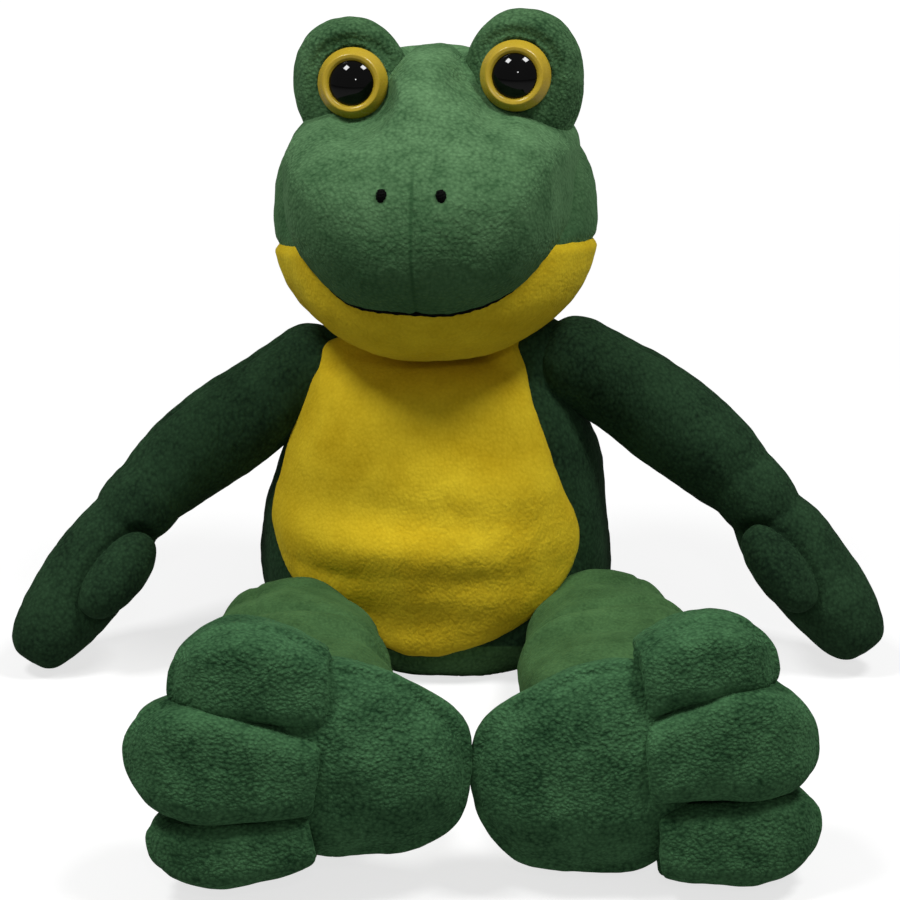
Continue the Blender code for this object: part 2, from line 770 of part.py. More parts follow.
def make_head(head):
    inner = cutter("head_inside", head_form("head_inside", -CLOTH), head)
    skull = cutter("skull", head_form("skull", SEAM_GAP), head)
    muzzle_bed = cutter("muzzle_bed", muzzle_form("muzzle_bed", SEAM_GAP), head)
    window = cutter("muzzle_window", muzzle_form("muzzle_window", -MUZZLE_LAP), head)
    mounds = [
        cutter("mound_bed_" + SIDE_NAMES[side], mound_form("mound_bed", side, SEAM_GAP), head)
        for side in (LEFT, RIGHT)
    ]
    reach = HEAD_HALF_WIDTH + CUT_OVERRUN
    mouth = pivot(
        "mouth_plane", head, (0, -HEAD_FORWARD - HEAD_FRONT, MOUTH_RISE), (MOUTH_SLOPE, MOUTH_LEAN, 0)
    )
    depth = HEAD_FRONT + HEAD_FORWARD + JAW_BACK

    def jaw_block(name, gap):
        low = (-reach, -CUT_OVERRUN, -CUT_OVERRUN - HEAD_HEIGHT)
        high = (reach, depth / math.cos(MOUTH_SLOPE) + gap, gap)
        return cutter(name, block(name, low, high), mouth)

    back = add("head_back", head_form("head_back"), PALE_PLUSH, head)
    boolean(back, inner)
    boolean(back, jaw_block("jaw_opening", SEAM_GAP))
    boolean(back, window)
    jaw = add("jaw_panel", head_form("jaw_panel"), YELLOW_PLUSH, head)
    boolean(jaw, inner)
    boolean(jaw, jaw_block("jaw_patch", 0), "INTERSECT")
    stuffing = add("head_stuffing", head_form("head_stuffing", -CLOTH - SEAM_GAP), WADDING, head)
    muzzle = add("muzzle", muzzle_form("muzzle"), PALE_PLUSH, head)
    for piece in (back, stuffing, muzzle):
        for bed in mounds:
            boolean(piece, bed)
    for side in (LEFT, RIGHT):
        name = SIDE_NAMES[side]
        mound = add("eye_mound_" + name, mound_form("eye_mound", side), PALE_PLUSH, head)
        make_eye(side, head, (mound, back, stuffing, muzzle))
        across = side * NOSTRIL_SIDE
        nostril = swelling(
            "nostril",
            (0, 0, -NOSTRIL_HALF_HEIGHT),
            (0, 0, NOSTRIL_HALF_HEIGHT),
            (NOSTRIL_HALF_WIDTH, NOSTRIL_PROUD + NOSTRIL_HALF_WIDTH, NOSTRIL_HALF_HEIGHT),
            EVEN_SHARES,
            rings=6,
            around=12,
            mirrored=side == RIGHT,
        )
        front = tilt(Vector((across, -muzzle_depth(across, NOSTRIL_RISE), NOSTRIL_RISE)))
        stitched = add("nostril_" + name, nostril, BLACK_THREAD, head, front)
        boolean(stitched, muzzle_bed)
    boolean(muzzle, skull)
    thread = add("mouth_thread", thread_form("mouth_thread"), BLACK_THREAD, head)
    boolean(thread, muzzle_bed)
    boolean(jaw, cutter("mouth_groove", thread_form("mouth_groove", SEAM_GAP), head))
    return [back, jaw, stuffing, muzzle]


def make_neck(neck, cups):
    """The neck's ball, and its cup in each piece that it meets."""
    add("neck", ball("neck", NECK_RADIUS), DARK_PLUSH, neck)
    cup = cutter("neck_cup", ball("neck_cup", NECK_RADIUS + JOINT_GAP), neck)
    for piece in cups:
        boolean(piece, cup)


def make_arm(side, body, torso_pieces, torso_room):
    name = SIDE_NAMES[side]
    drop, forward, bend, swing = ARM_POSES[side]
    mirrored = side == RIGHT
    shoulder = pivot(
        "shoulder_joint_" + name,
        body,
        (side * SHOULDER_SIDE, SHOULDER_BACK, SHOULDER_HEIGHTS[side]),
        (0, side * drop, -side * forward),
    )
    add("shoulder_" + name, ball("shoulder", SHOULDER_RADIUS), DARK_PLUSH, shoulder)
    cup = cutter("shoulder_cup_" + name, ball("shoulder_cup", SHOULDER_RADIUS + JOINT_GAP), shoulder)
    for piece in torso_pieces:
        boolean(piece, cup)
    elbow = pivot(
        "elbow_joint_" + name, shoulder, (side * UPPER_ARM_LENGTH, 0, 0), (0, side * bend, -side * swing)
    )
    upper = swelling(
        "upper_arm",
        (UPPER_ARM_START, 0, 0),
        (UPPER_ARM_LENGTH, 0, 0),
        (UPPER_ARM_HALF_HEIGHT, UPPER_ARM_HALF_DEPTH, UPPER_ARM_HALF_DEPTH),
        UPPER_ARM_SHARES,
        fullness=LIMB_FULLNESS,
        rings=9,
        around=18,
        cross=Vector((0, 0, 1)),
        bow=Vector((0, 0, UPPER_ARM_BOWS[side])),
        mirrored=mirrored,
    )
    upper_arm = add("upper_arm_" + name, upper, DARK_PLUSH, shoulder)
    elbow_end = cutter(
        "elbow_end_" + name, knuckle("elbow_end", ELBOW_RADIUS, ELBOW_HALF_DEPTH, (0, 1, 0)), elbow
    )
    boolean(upper_arm, elbow_end, "UNION")
    boolean(upper_arm, cup)
    boolean(upper_arm, torso_room)
    elbow_hollow = knuckle(
        "elbow_hollow", ELBOW_RADIUS + JOINT_GAP, ELBOW_HALF_DEPTH + JOINT_GAP, (0, 1, 0)
    )
    elbow_cup = cutter("elbow_cup_" + name, elbow_hollow, elbow)

    def forearm_form(title, grow):
        return swelling(
            title,
            (FOREARM_START, 0, 0),
            (FOREARM_LENGTH, 0, 0),
            (FOREARM_HALF_HEIGHT, FOREARM_HALF_DEPTH, FOREARM_HALF_DEPTH),
            FOREARM_SHARES,
            fullness=FOREARM_FULLNESS,
            rings=9,
            around=18,
            grow=grow,
            cross=Vector((0, 0, 1)),
            mirrored=mirrored,
        )

    forearm = add("forearm_" + name, forearm_form("forearm", 0), DARK_PLUSH, elbow)
    boolean(forearm, elbow_cup)
    thumb = swelling(
        "thumb",
        (THUMB_PLACE, -THUMB_PROUD, -THUMB_DROP),
        (THUMB_PLACE + THUMB_LENGTH, -THUMB_PROUD, -THUMB_DROP),
        (THUMB_RADIUS, THUMB_RADIUS, THUMB_RADIUS),
        THUMB_SHARES,
        fullness=THUMB_FULLNESS,
        rings=8,
        around=14,
        cross=Vector((0, 0, 1)),
        mirrored=mirrored,
    )
    thumb_piece = add("thumb_" + name, thumb, DARK_PLUSH, elbow)
    boolean(thumb_piece, cutter("forearm_bed_" + name, forearm_form("forearm_bed", SEAM_GAP), elbow))


def make_leg(side, root, torso_pieces):
    name = SIDE_NAMES[side]
    mirrored = side == RIGHT
    hip_at = Vector((side * HIP_SIDE, -HIP_FORWARD, HIP_HEIGHT))
    hip = pivot("hip_joint_" + name, root, hip_at)
    ankle_at = Vector((side * ANKLE_SIDE, -ANKLE_FORWARD, ANKLE_HEIGHT))
    ankle = pivot("ankle_joint_" + name, hip, ankle_at - hip_at)
    hip_end = cutter("hip_end_" + name, knuckle("hip_end", HIP_RADIUS, HIP_HALF_WIDTH, (1, 0, 0)), hip)
    hip_hollow = knuckle("hip_hollow", HIP_RADIUS + JOINT_GAP, HIP_HALF_WIDTH + JOINT_GAP, (1, 0, 0))
    hip_cup = cutter("hip_cup_" + name, hip_hollow, hip)
    for piece in torso_pieces:
        boolean(piece, hip_cup)
    run = ankle_at - hip_at
    run.x *= side
    ankle_end = cutter(
        "ankle_end_" + name, knuckle("ankle_end", ANKLE_RADIUS, ANKLE_HALF_WIDTH, (1, 0, 0)), ankle
    )
    ankle_hollow = knuckle(
        "ankle_hollow", ANKLE_RADIUS + JOINT_GAP, ANKLE_HALF_WIDTH + JOINT_GAP, (1, 0, 0)
    )
    ankle_cup = cutter("ankle_cup_" + name, ankle_hollow, ankle)
    leg_mesh = swelling(
        "leg",
        (0, 0, 0),
        run,
        (LEG_HALF_WIDTH, LEG_HALF_HEIGHT, LEG_HALF_HEIGHT),
        LEG_SHARES,
        fullness=LIMB_FULLNESS,
        rings=9,
        around=18,
        bow=Vector((LEG_OUTWARD, 0, 0)),
        mirrored=mirrored,
    )
    leg = add("leg_" + name, leg_mesh, MID_PLUSH, hip)
    boolean(leg, hip_end, "UNION")
    boolean(leg, ankle_end, "UNION")
    sole = pivot(
        "foot_stand_" + name,
        ankle,
        Vector((side * FOOT_HEEL, -FOOT_FORWARD, FOOT_RISES[side])) - ankle_at,
        (FOOT_LEAN, FOOT_ROLLS[side], 0),
    )

    tall = BALL_RISE + PAD_HALF_HEIGHTS[side] + CUT_OVERRUN
    inner = block("inner", (-CUT_OVERRUN, -tall, -tall), (BALL_PLACE, tall, tall))
    outer = block("outer", (BALL_PLACE + SEAM_GAP, -tall, -tall), (BALL_PLACE + PAD_LENGTH, tall, tall))
    for mesh in (inner, outer):
        mesh.transform(Matrix.Scale(side, 4, (1, 0, 0)))
        if mirrored:
            mesh.flip_normals()
    heel_half = cutter("heel_half_" + name, inner, sole)
    toe_half = cutter("toe_half_" + name, outer, sole)
    pad_mesh = swelling(
        "foot",
        (0, 0, HEEL_RISES[side]),
        (PAD_LENGTH, 0, BALL_RISE),
        (PAD_HALF_HEIGHTS[side], PAD_HALF_DEPTH, PAD_HALF_DEPTH),
        PAD_SHARES,
        fullness=PAD_FULLNESS,
        rings=10,
        around=18,
        cross=Vector((0, 0, 1)),
        mirrored=mirrored,
    )
    pad = add("foot_" + name, pad_mesh, MID_PLUSH, sole)
    boolean(pad, heel_half, "INTERSECT")
    boolean(pad, ankle_cup)
    middle_bed = None
    for toe, root_height, tip_height, half_height, half_depth, stand in TOES:
        reach = TOE_REACHES[toe][side]

        def toe_form(title, grow):
            return swelling(
                title,
                (TOE_ROOT, -stand, root_height),
                (reach, -stand, tip_height),
                (half_height, half_depth, half_depth),
                TOE_SHARES,
                fullness=TOE_FULLNESS,
                rings=9,
                around=16,
                grow=grow,
                cross=Vector((0, 0, 1)),
                mirrored=mirrored,
            )

        title = "toe_" + toe + "_" + name
        piece = add(title, toe_form(title, 0), MID_PLUSH, sole)
        boolean(piece, toe_half, "INTERSECT")
        boolean(piece, ankle_cup)
        if middle_bed:
            boolean(piece, middle_bed)
        else:
            middle_bed = cutter("bed_" + title, toe_form("bed", SEAM_GAP), sole)


def main():
    clear_scene()
    root = pivot("frog")
    body = pivot("torso_turn", root, turn=(0, 0, TORSO_TURN))
    head = pivot(
        "neck_joint", body, (NECK_SIDE, NECK_BACK, NECK_HEIGHT), (0, HEAD_LEAN, HEAD_TURN)
    )
    torso_pieces = make_torso(body)
    head_pieces = make_head(head)
    make_neck(head, torso_pieces[:3] + head_pieces[:3])
    torso_room = cutter("torso_room", torso_form("torso_room", ARM_ROOM), body)
    for side in (LEFT, RIGHT):
        make_arm(side, body, torso_pieces[:3], torso_room)
        make_leg(side, root, torso_pieces)
    bpy.context.view_layer.update()


main()
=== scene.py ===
"""The looks of the plush frog: cloth skins with nap and seams, safety eyes and stitching.

Metres, +Z up. The frog faces -Y, and left and right are its own. Each skin is shaped in the frame of the
part that it covers, with the sizes below, and is then put where the frame's joints say.
"""

import json
import math

import bmesh
import bpy
import numpy as np
from mathutils import Matrix, Vector
from mathutils.bvhtree import BVHTree


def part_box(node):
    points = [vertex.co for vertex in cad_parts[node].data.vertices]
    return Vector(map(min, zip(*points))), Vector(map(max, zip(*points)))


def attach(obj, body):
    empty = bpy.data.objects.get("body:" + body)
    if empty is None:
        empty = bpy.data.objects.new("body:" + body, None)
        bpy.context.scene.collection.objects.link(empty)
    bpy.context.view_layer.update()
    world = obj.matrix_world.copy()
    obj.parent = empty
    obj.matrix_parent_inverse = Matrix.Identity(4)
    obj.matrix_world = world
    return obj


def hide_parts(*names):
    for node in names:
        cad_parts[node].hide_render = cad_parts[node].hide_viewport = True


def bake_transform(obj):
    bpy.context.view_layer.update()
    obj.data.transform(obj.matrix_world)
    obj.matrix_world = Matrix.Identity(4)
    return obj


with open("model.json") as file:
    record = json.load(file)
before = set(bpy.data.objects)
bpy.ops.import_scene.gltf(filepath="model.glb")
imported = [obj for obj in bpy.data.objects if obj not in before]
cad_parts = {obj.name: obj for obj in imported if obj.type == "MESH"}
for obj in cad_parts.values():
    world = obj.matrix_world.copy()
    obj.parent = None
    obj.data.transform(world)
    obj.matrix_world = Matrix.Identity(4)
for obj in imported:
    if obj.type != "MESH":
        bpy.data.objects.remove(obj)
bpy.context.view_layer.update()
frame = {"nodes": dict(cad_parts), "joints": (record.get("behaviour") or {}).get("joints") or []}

LEFT, RIGHT = 1, -1
SIDE_NAMES = {LEFT: "left", RIGHT: "right"}
UP = Vector((0, 0, 1))

# How closely a skin's points lie
SKIN_STEP = 0.0011
PAD_STEP = 0.0009
FINE_STEP = 0.0008
STITCH_STEP = 0.00022

# The size and height of each cloth's soft unevenness, and of its pile's
UNEVENNESS = {
    "torso": (0.045, 0.0006),
    "head": (0.040, 0.0005),
    "muzzle": (0.030, 0.0004),
    "arm": (0.034, 0.0003),
    "thumb": (0.020, 0.0002),
    "leg": (0.030, 0.0006),
    "foot": (0.024, 0.0004),
    "toe": (0.018, 0.00022),
}
NAP_SIZE = 0.0060
NAP_HEIGHT = 0.00006

# A sewn-on panel: its cloth, what is kept of it outside its seam, and how far its face stands over its edge
PANEL_CLOTH = 0.0020
PANEL_MARGIN = 0.0030
PANEL_RISE = 0.0026

# A seam is given by its depth and its width

# Torso: a pear on a flat seat, with the belly panel sewn into its front
TORSO_HEIGHT = 0.0910
TORSO_HALVES = (0.0546, 0.0450, 0.0420)
TORSO_SHIFT = -0.0012
TORSO_FULLNESS = 0.25
SEAT_SINK = 0.0060
SEAT_CLOTH_TOP = -0.0080
SEAT_SLOPE = (0, 0.5, 1)
TORSO_SHARES = (
    (0.00, 1.06, 1.04, 1.02),
    (0.16, 1.06, 1.10, 1.04),
    (0.30, 1.00, 1.04, 1.00),
    (0.62, 0.89, 0.88, 0.86),
    (0.82, 0.86, 0.78, 0.80),
    (1.00, 0.92, 0.76, 0.80),
)
YOKE_RADIUS = 0.0136
YOKE_LIFT = 0.0022
YOKE_FULLNESS = 0.34
YOKE_INNER = (0.0080, 0.0020, 0.0838)
BELLY_TOP = 0.0940
BELLY_LOW = 0.0090
BELLY_HALF_WIDTH = 0.0455
BELLY_SHIFTS = (0.0012, -0.0062)
BELLY_SHARES = (
    (0.00, 0.10),
    (0.06, 0.44),
    (0.19, 0.82),
    (0.36, 1.00),
    (0.57, 0.92),
    (0.76, 0.80),
    (1.00, 0.64),
)
BELLY_EDGE = (-0.0018, 0.0016)
BELLY_SINK = 0.0020
BELLY_CROWN = (0.0006, 0.0060)
BELLY_SEAM = (0.0012, 0.0022)
UNDER_BELLY = (0.0010, 0.0030)
BELLY_BACK = 0.0050
BELLY_UNDER_CHIN = 0.0080
NECK_ROOM = 0.0020
NECK_ROOM_BACK = 0.0120
NECK_ROOM_DEPTH = 0.0100

# Head, measured from the neck's middle
HEAD_LOW = -0.0010
HEAD_HEIGHT = 0.0860
HEAD_HALVES = (0.0475, 0.0500, 0.0400)
HEAD_FORWARD = 0.0040
HEAD_SHIFTS = (-0.0012, 0.0014)
HEAD_FULLNESS = 0.30
HEAD_SHARES = (
    (0.00, 0.96, 1.04, 0.78),
    (0.22, 1.00, 1.04, 0.90),
    (0.42, 1.00, 0.90, 1.00),
    (0.62, 0.97, 0.66, 1.00),
    (0.82, 0.86, 0.42, 0.92),
    (1.00, 0.72, 0.32, 0.80),
)
MOUTH_RISE = 0.0392
MOUTH_SLOPE = math.radians(-12.0)
MOUTH_LEAN = math.radians(1.5)
JAW_BACK = 0.0040
JAW_EDGE = (-0.0018, 0.0014)
JAW_SINK = 0.0018
JAW_SEAM = (0.0010, 0.0018)

# Muzzle and forehead
MUZZLE_LOW = 0.0140
MUZZLE_HEIGHT = 0.0716
MUZZLE_HALVES = (0.0405, 0.0575, 0.0150)
MUZZLE_SMILE = 0.0136
MUZZLE_TILT = math.radians(2.8)
MUZZLE_TILT_RISE = 0.0420
MUZZLE_SHARES = (
    (0.00, 1.03, 0.98, 1.0),
    (0.20, 1.06, 1.02, 1.0),
    (0.42, 1.02, 1.00, 1.0),
    (0.60, 0.97, 0.92, 1.0),
    (0.70, 0.85, 0.82, 1.0),
    (0.80, 0.56, 0.70, 1.0),
    (0.90, 0.33, 0.57, 1.0),
    (1.00, 0.25, 0.45, 1.0),
)
MUZZLE_SQUARE = 1.50
MUZZLE_FULLNESS = 0.19
MUZZLE_SEAM = (0.0026, 0.0034)
MUZZLE_SEAM_FADE = 0.0070
DART_TOP = 0.0620
DART_FADE = 0.0120
DART_SEAM = (0.0006, 0.0011)
NOSTRIL_SIDE = 0.0082
NOSTRIL_RISE = 0.0568
NOSTRIL_HALVES = (0.0015, 0.0009, 0.0020)
NOSTRIL_SLANT = math.radians(8.0)
NOSTRIL_BED = 0.0005
NOSTRIL_FULLNESS = 0.42
NOSTRIL_STITCH = 0.00010
THREAD_RADIUS = 0.0006
THREAD_REACH = math.radians(33.0)
THREAD_POINTS = 81
THREAD_ENDS = 14
MOUTH_HEIGHTS = (0.004, 0.036)
FACE_AHEAD = 0.15

# Eye mounds and safety eyes
MOUND_SIDE = 0.0241
MOUND_SHIFT = 0.0036
MOUND_FORWARD = 0.0050
MOUND_RISE = 0.0740
MOUND_HALVES = (0.0172, 0.0135, 0.0215)
MOUND_SPREAD = math.radians(9.0)
MOUND_FULLNESS = 0.42
MOUND_SEAM_BACK = 0.0030
MOUND_SEAM = (0.0009, 0.0011)
EYE_SIDE = 0.0230
EYE_SHIFT = 0.0038
EYE_FORWARD = 0.0150
EYE_RISE = 0.0788
EYE_TILT = math.radians(-13.0)
IRIS_RADIUS = 0.0100
IRIS_DEPTH = 0.0050
IRIS_BACK = 0.0010
IRIS_RIM = 0.0016
PUPIL_RADIUS = 0.0063
PUPIL_DOME = 0.0024
PUPIL_SEAT = 0.0008
LID_OUT = 0.0060
LID_RIDGE = 0.0016
LID_WIDTH = 0.0030
LID_SLANT = 0.35
LID_FADE = 0.0060
LID_GAP = 0.0012
LID_GROOVE = (0.0016, 0.0024)
EYE_REACH = 0.0120
EYE_PRESS = 0.0008
EYE_PRESS_MARGIN = 0.0004
EYE_BED = -0.0010
EYE_BED_MARGIN = 0.0005
EYE_HOLLOW = 3.2
EYE_HOLLOW_REACH = 0.0600

# Arms
SHOULDER_RADIUS = 0.0142
ARM_START = -0.0060
UPPER_ARM_HALVES = (0.0147, 0.0140, 0.0140)
UPPER_ARM_BOWS = {LEFT: 0.0031, RIGHT: 0.0012}
ARM_FULLNESS = (0.09, 0.14)
ARM_ROOT_TRIM = 0.0012
ARM_SEAM_BACK = 0.0010
ARM_SEAM = (0.0007, 0.0012)
SHOULDER_FOLD_TRIM = 0.0022
HAND_LIFTS = {LEFT: 0.0020, RIGHT: -0.0003}
UPPER_ARM_SHARES = (
    (0.00, 0.93, 0.94, 0.94),
    (0.30, 0.95, 1.00, 1.00),
    (0.50, 0.98, 0.98, 0.98),
    (0.75, 0.95, 0.93, 0.93),
    (1.00, 0.88, 0.88, 0.88),
)
ELBOW_REACH = 0.0140
ELBOW_LIFTS = {LEFT: 0.0030, RIGHT: 0.0018}
ELBOW_HALVES = (0.0117, 0.0120, 0.0120)
ELBOW_BLEND = 0.0070
ELBOW_FULLNESS = 0.30
UPPER_ARM_PAST = 0.0040
FOREARM_BEFORE = 0.0010
FOREARM_HALVES = (0.0136, 0.0125, 0.0125)
FOREARM_FULLNESS = 0.25
FOREARM_SHARES = (
    (0.00, 0.94, 0.92, 0.92),
    (0.25, 0.98, 0.98, 0.98),
    (0.55, 0.97, 1.00, 1.00),
    (1.00, 0.88, 0.86, 0.86),
)
THUMB_LENGTH = 0.0290
THUMB_RADIUS = 0.0078
THUMB_AT = (0.0080, -0.0104, -0.0032)
THUMB_DROP = 0.0024
THUMB_TURN = 0.0026
THUMB_SEAM = (0.0012, 0.0018)
THUMB_FULLNESS = 0.35
THUMB_SHARES = ((0.00, 0.90, 0.90, 0.90), (0.50, 1.00, 1.00, 1.00), (1.00, 0.92, 0.92, 0.92))

# Legs
HIP_RADIUS = 0.0157
HIP_HALF_WIDTH = 0.0200
ANKLE_RADIUS = 0.0145
ANKLE_HALF_WIDTH = 0.0170
LEG_HALVES = (0.0260, 0.0168, 0.0168)
LEG_OUTWARD = 0.0032
LEG_FULLNESS = (0.09, 0.16)
LEG_SEAM_OUT = 0.0100
LEG_SEAM = (0.0006, 0.0012)
LEG_FOLD_MIDDLE = 0.0450
LEG_SHARES = (
    (0.00, 1.04, 0.98, 0.98),
    (0.20, 1.00, 1.00, 1.00),
    (0.45, 1.00, 1.00, 1.00),
    (0.75, 0.84, 0.88, 0.88),
    (1.00, 0.60, 0.76, 0.76),
)

# Feet: how they stand, then their pads
FOOT_LEAN = math.radians(-9.0)
FOOT_ROLLS = {LEFT: math.radians(-1.2), RIGHT: math.radians(-2.5)}
FOOT_RISES = {LEFT: -0.0014, RIGHT: 0.0044}
FOOT_HEEL = 0.0004
FOOT_FORWARD = 0.1660
HEEL_RISES = {LEFT: 0.0262, RIGHT: 0.0266}
BALL_RISE = 0.0370
PAD_LENGTH = 0.0540
PAD_HALF_HEIGHTS = {LEFT: 0.0300, RIGHT: 0.0278}
PAD_HALF_DEPTHS = (0.0108, 0.0145)
PAD_SHARES = (
    (0.00, 0.86, 1.00, 0.98),
    (0.32, 0.82, 1.00, 0.96),
    (0.66, 0.92, 0.90, 1.00),
    (1.00, 0.94, 0.70, 1.00),
)
PAD_FULLNESS = (0.36, 0.20)
EDGE_RIDGE_AT = 0.0034
EDGE_RIDGE = (0.0008, 0.0013)
EDGE_GROOVE_AT = 0.0056
EDGE_GROOVE = (0.0006, 0.0008)

# Toes: where a toe's root and tip lie along the foot, their heights, how far it bows up between them, its
# half height, the share of that at its root, and how far it stands forwards
TOES = {
    LEFT: {
        "middle": (0.0425, 0.0858, 0.0350, 0.0374, 0.0034, 0.0150, 0.80, 0.0014),
        "upper": (0.0420, 0.0760, 0.0546, 0.0588, 0.0035, 0.0103, 0.98, 0.0000),
        "lower": (0.0452, 0.0864, 0.0142, 0.0164, -0.0014, 0.0118, 0.90, 0.0004),
    },
    RIGHT: {
        "middle": (0.0380, 0.0848, 0.0308, 0.0394, 0.0000, 0.0154, 0.72, 0.0014),
        "upper": (0.0342, 0.0735, 0.0508, 0.0560, 0.0038, 0.0117, 0.94, 0.0000),
        "lower": (0.0400, 0.0814, 0.0156, 0.0146, -0.0022, 0.0093, 0.90, 0.0004),
    },
}
TOE_DEPTHS = {"middle": 0.0166, "upper": 0.0148, "lower": 0.0148}
TOE_FULLNESS = (0.045, 0.38)
TOE_SQUARE = 2.1
EVEN = ((0.0, 1.0, 1.0, 1.0), (1.0, 1.0, 1.0, 1.0))

# Base colours: deep between the tufts, and lighter at their tips
DARK_GREEN = (0.006, 0.018, 0.008, 1)
DARK_TIP = (0.029, 0.074, 0.032, 1)
MID_GREEN = (0.026, 0.070, 0.022, 1)
MID_TIP = (0.082, 0.185, 0.066, 1)
FOOT_GREEN = (0.012, 0.045, 0.017, 1)
FOOT_TIP = (0.071, 0.186, 0.078, 1)
PALE_GREEN = (0.031, 0.088, 0.033, 1)
PALE_TIP = (0.128, 0.262, 0.118, 1)
# The mounds' cloth: the pale plush made darker, as painted shade on their forward faces
MOUND_SHADED_GREEN = (0.018, 0.054, 0.020, 1)
MOUND_SHADED_TIP = (0.094, 0.205, 0.088, 1)
YELLOW = (0.580, 0.380, 0.008, 1)
YELLOW_TIP = (0.870, 0.650, 0.030, 1)

# Painted shade on the face: how much of its deep colour it has at its lower edge, and how far past the
# nostrils that fades out
FACE_PAINTED_SHADE = 0.80
FACE_PAINTED_SHADE_PAST = 0.0130

# Moulded plastic and thread: the colour, and that of their marks or strands
IRIS_YELLOW = ((0.530, 0.370, 0.026, 1), (0.450, 0.300, 0.018, 1))
PUPIL_BLACK = ((0.001, 0.001, 0.001, 1), (0.002, 0.002, 0.002, 1))
WASHER_WHITE = ((0.700, 0.700, 0.680, 1), (0.600, 0.600, 0.580, 1))
THREAD_BLACK = ((0.002, 0.002, 0.002, 1), (0.005, 0.005, 0.005, 1))

# Light, floor and camera: each lamp's place, size and power, and the floor's lift away from its middle
AIR_LIGHT = 0.16
SHINY_SHARE = 0.03
LAMP_AIM = (0.0, -0.04, 0.09)
LAMPS = {
    "softbox_left": ((-0.50, -0.30, 1.10), 0.26, 6.6),
    "softbox_right": ((0.44, -0.30, 1.10), 0.26, 6.6),
    "front_panel": ((0.00, -1.15, 0.70), 0.08, 0.8),
}
FLOOR_REACH = 4.0
FLOOR_SHADE = (0.36, 0.36, 0.36, 1)
FLOOR_FAR = 2.0
FLOOR_LIFT = ((0.0, 0.70), (0.16, 0.74), (0.45, 0.91), (0.75, 0.98))
WHITE = (1, 1, 1, 1)
LENS = 128.8
SENSOR_WIDTH = 36.0
CAMERA_AT = (-0.04598, -0.89140, 0.38292)
CAMERA_LOOK = (0.0508, 0.9383, -0.3420)


# Shader maths


class Wire:
    """A value in a finish's maths: sums and products of it add their Math nodes."""

    def __init__(self, finish, socket):
        self.finish = finish
        self.socket = socket

    def maths(self, operation, first, second=0.0):
        return self.finish.node("Math", {"operation": operation}, {0: first, 1: second})

    def __add__(self, other):
        return self.maths("ADD", self, other)

    def __sub__(self, other):
        return self.maths("SUBTRACT", self, other)

    def __rsub__(self, other):
        return self.maths("SUBTRACT", other, self)

    def __mul__(self, other):
        return self.maths("MULTIPLY", self, other)

    def __truediv__(self, other):
        return self.maths("DIVIDE", self, other)

    __radd__ = __add__
    __rmul__ = __mul__


class Finish:
    """The nodes of one material, or of the world."""

    def __init__(self, owner):
        owner.use_nodes = True
        self.owner = owner
        self.tree = owner.node_tree
        self.tree.nodes.clear()

    def node(self, kind, settings=None, values=None, take=0):
        """Adds a node: its settings first, a ramp's stops among them, then what its sockets get."""
        made = self.tree.nodes.new("ShaderNode" + kind)
        for key, value in (settings or {}).items():
            if key == "stops":
                lay_stops(made.color_ramp, value)
            else:
                setattr(made, key, value)
        for key, value in (values or {}).items():
            if isinstance(value, Wire):
                self.tree.links.new(value.socket, made.inputs[key])
            else:
                made.inputs[key].default_value = value
        return Wire(self, made.outputs[take])

    def mixed(self, share, first, second):
        """A colour between two others."""
        return self.node("Mix", {"data_type": "RGBA"}, {0: share, 6: first, 7: second}, take=2)

    def ramp(self, value, stops):
        """A value from 0 to 1 through the stops of a ramp."""
        return self.node("ValToRGB", {"stops": stops}, {0: value})

    def dot(self, first, second):
        """How far one vector reaches along another."""
        return self.node("VectorMath", {"operation": "DOT_PRODUCT"}, {0: first, 1: second}, take="Value")

    def shown(self, shader, output="OutputMaterial"):
        surface = self.tree.nodes.new("ShaderNode" + output).inputs["Surface"]
        self.tree.links.new(shader.socket, surface)
        return self.owner


def lay_stops(ramp, stops):
    while len(ramp.elements) < len(stops):
        ramp.elements.new(1.0)
    for element, (place, shade) in zip(ramp.elements, stops):
        element.position = place
        element.color = (shade, shade, shade, 1)


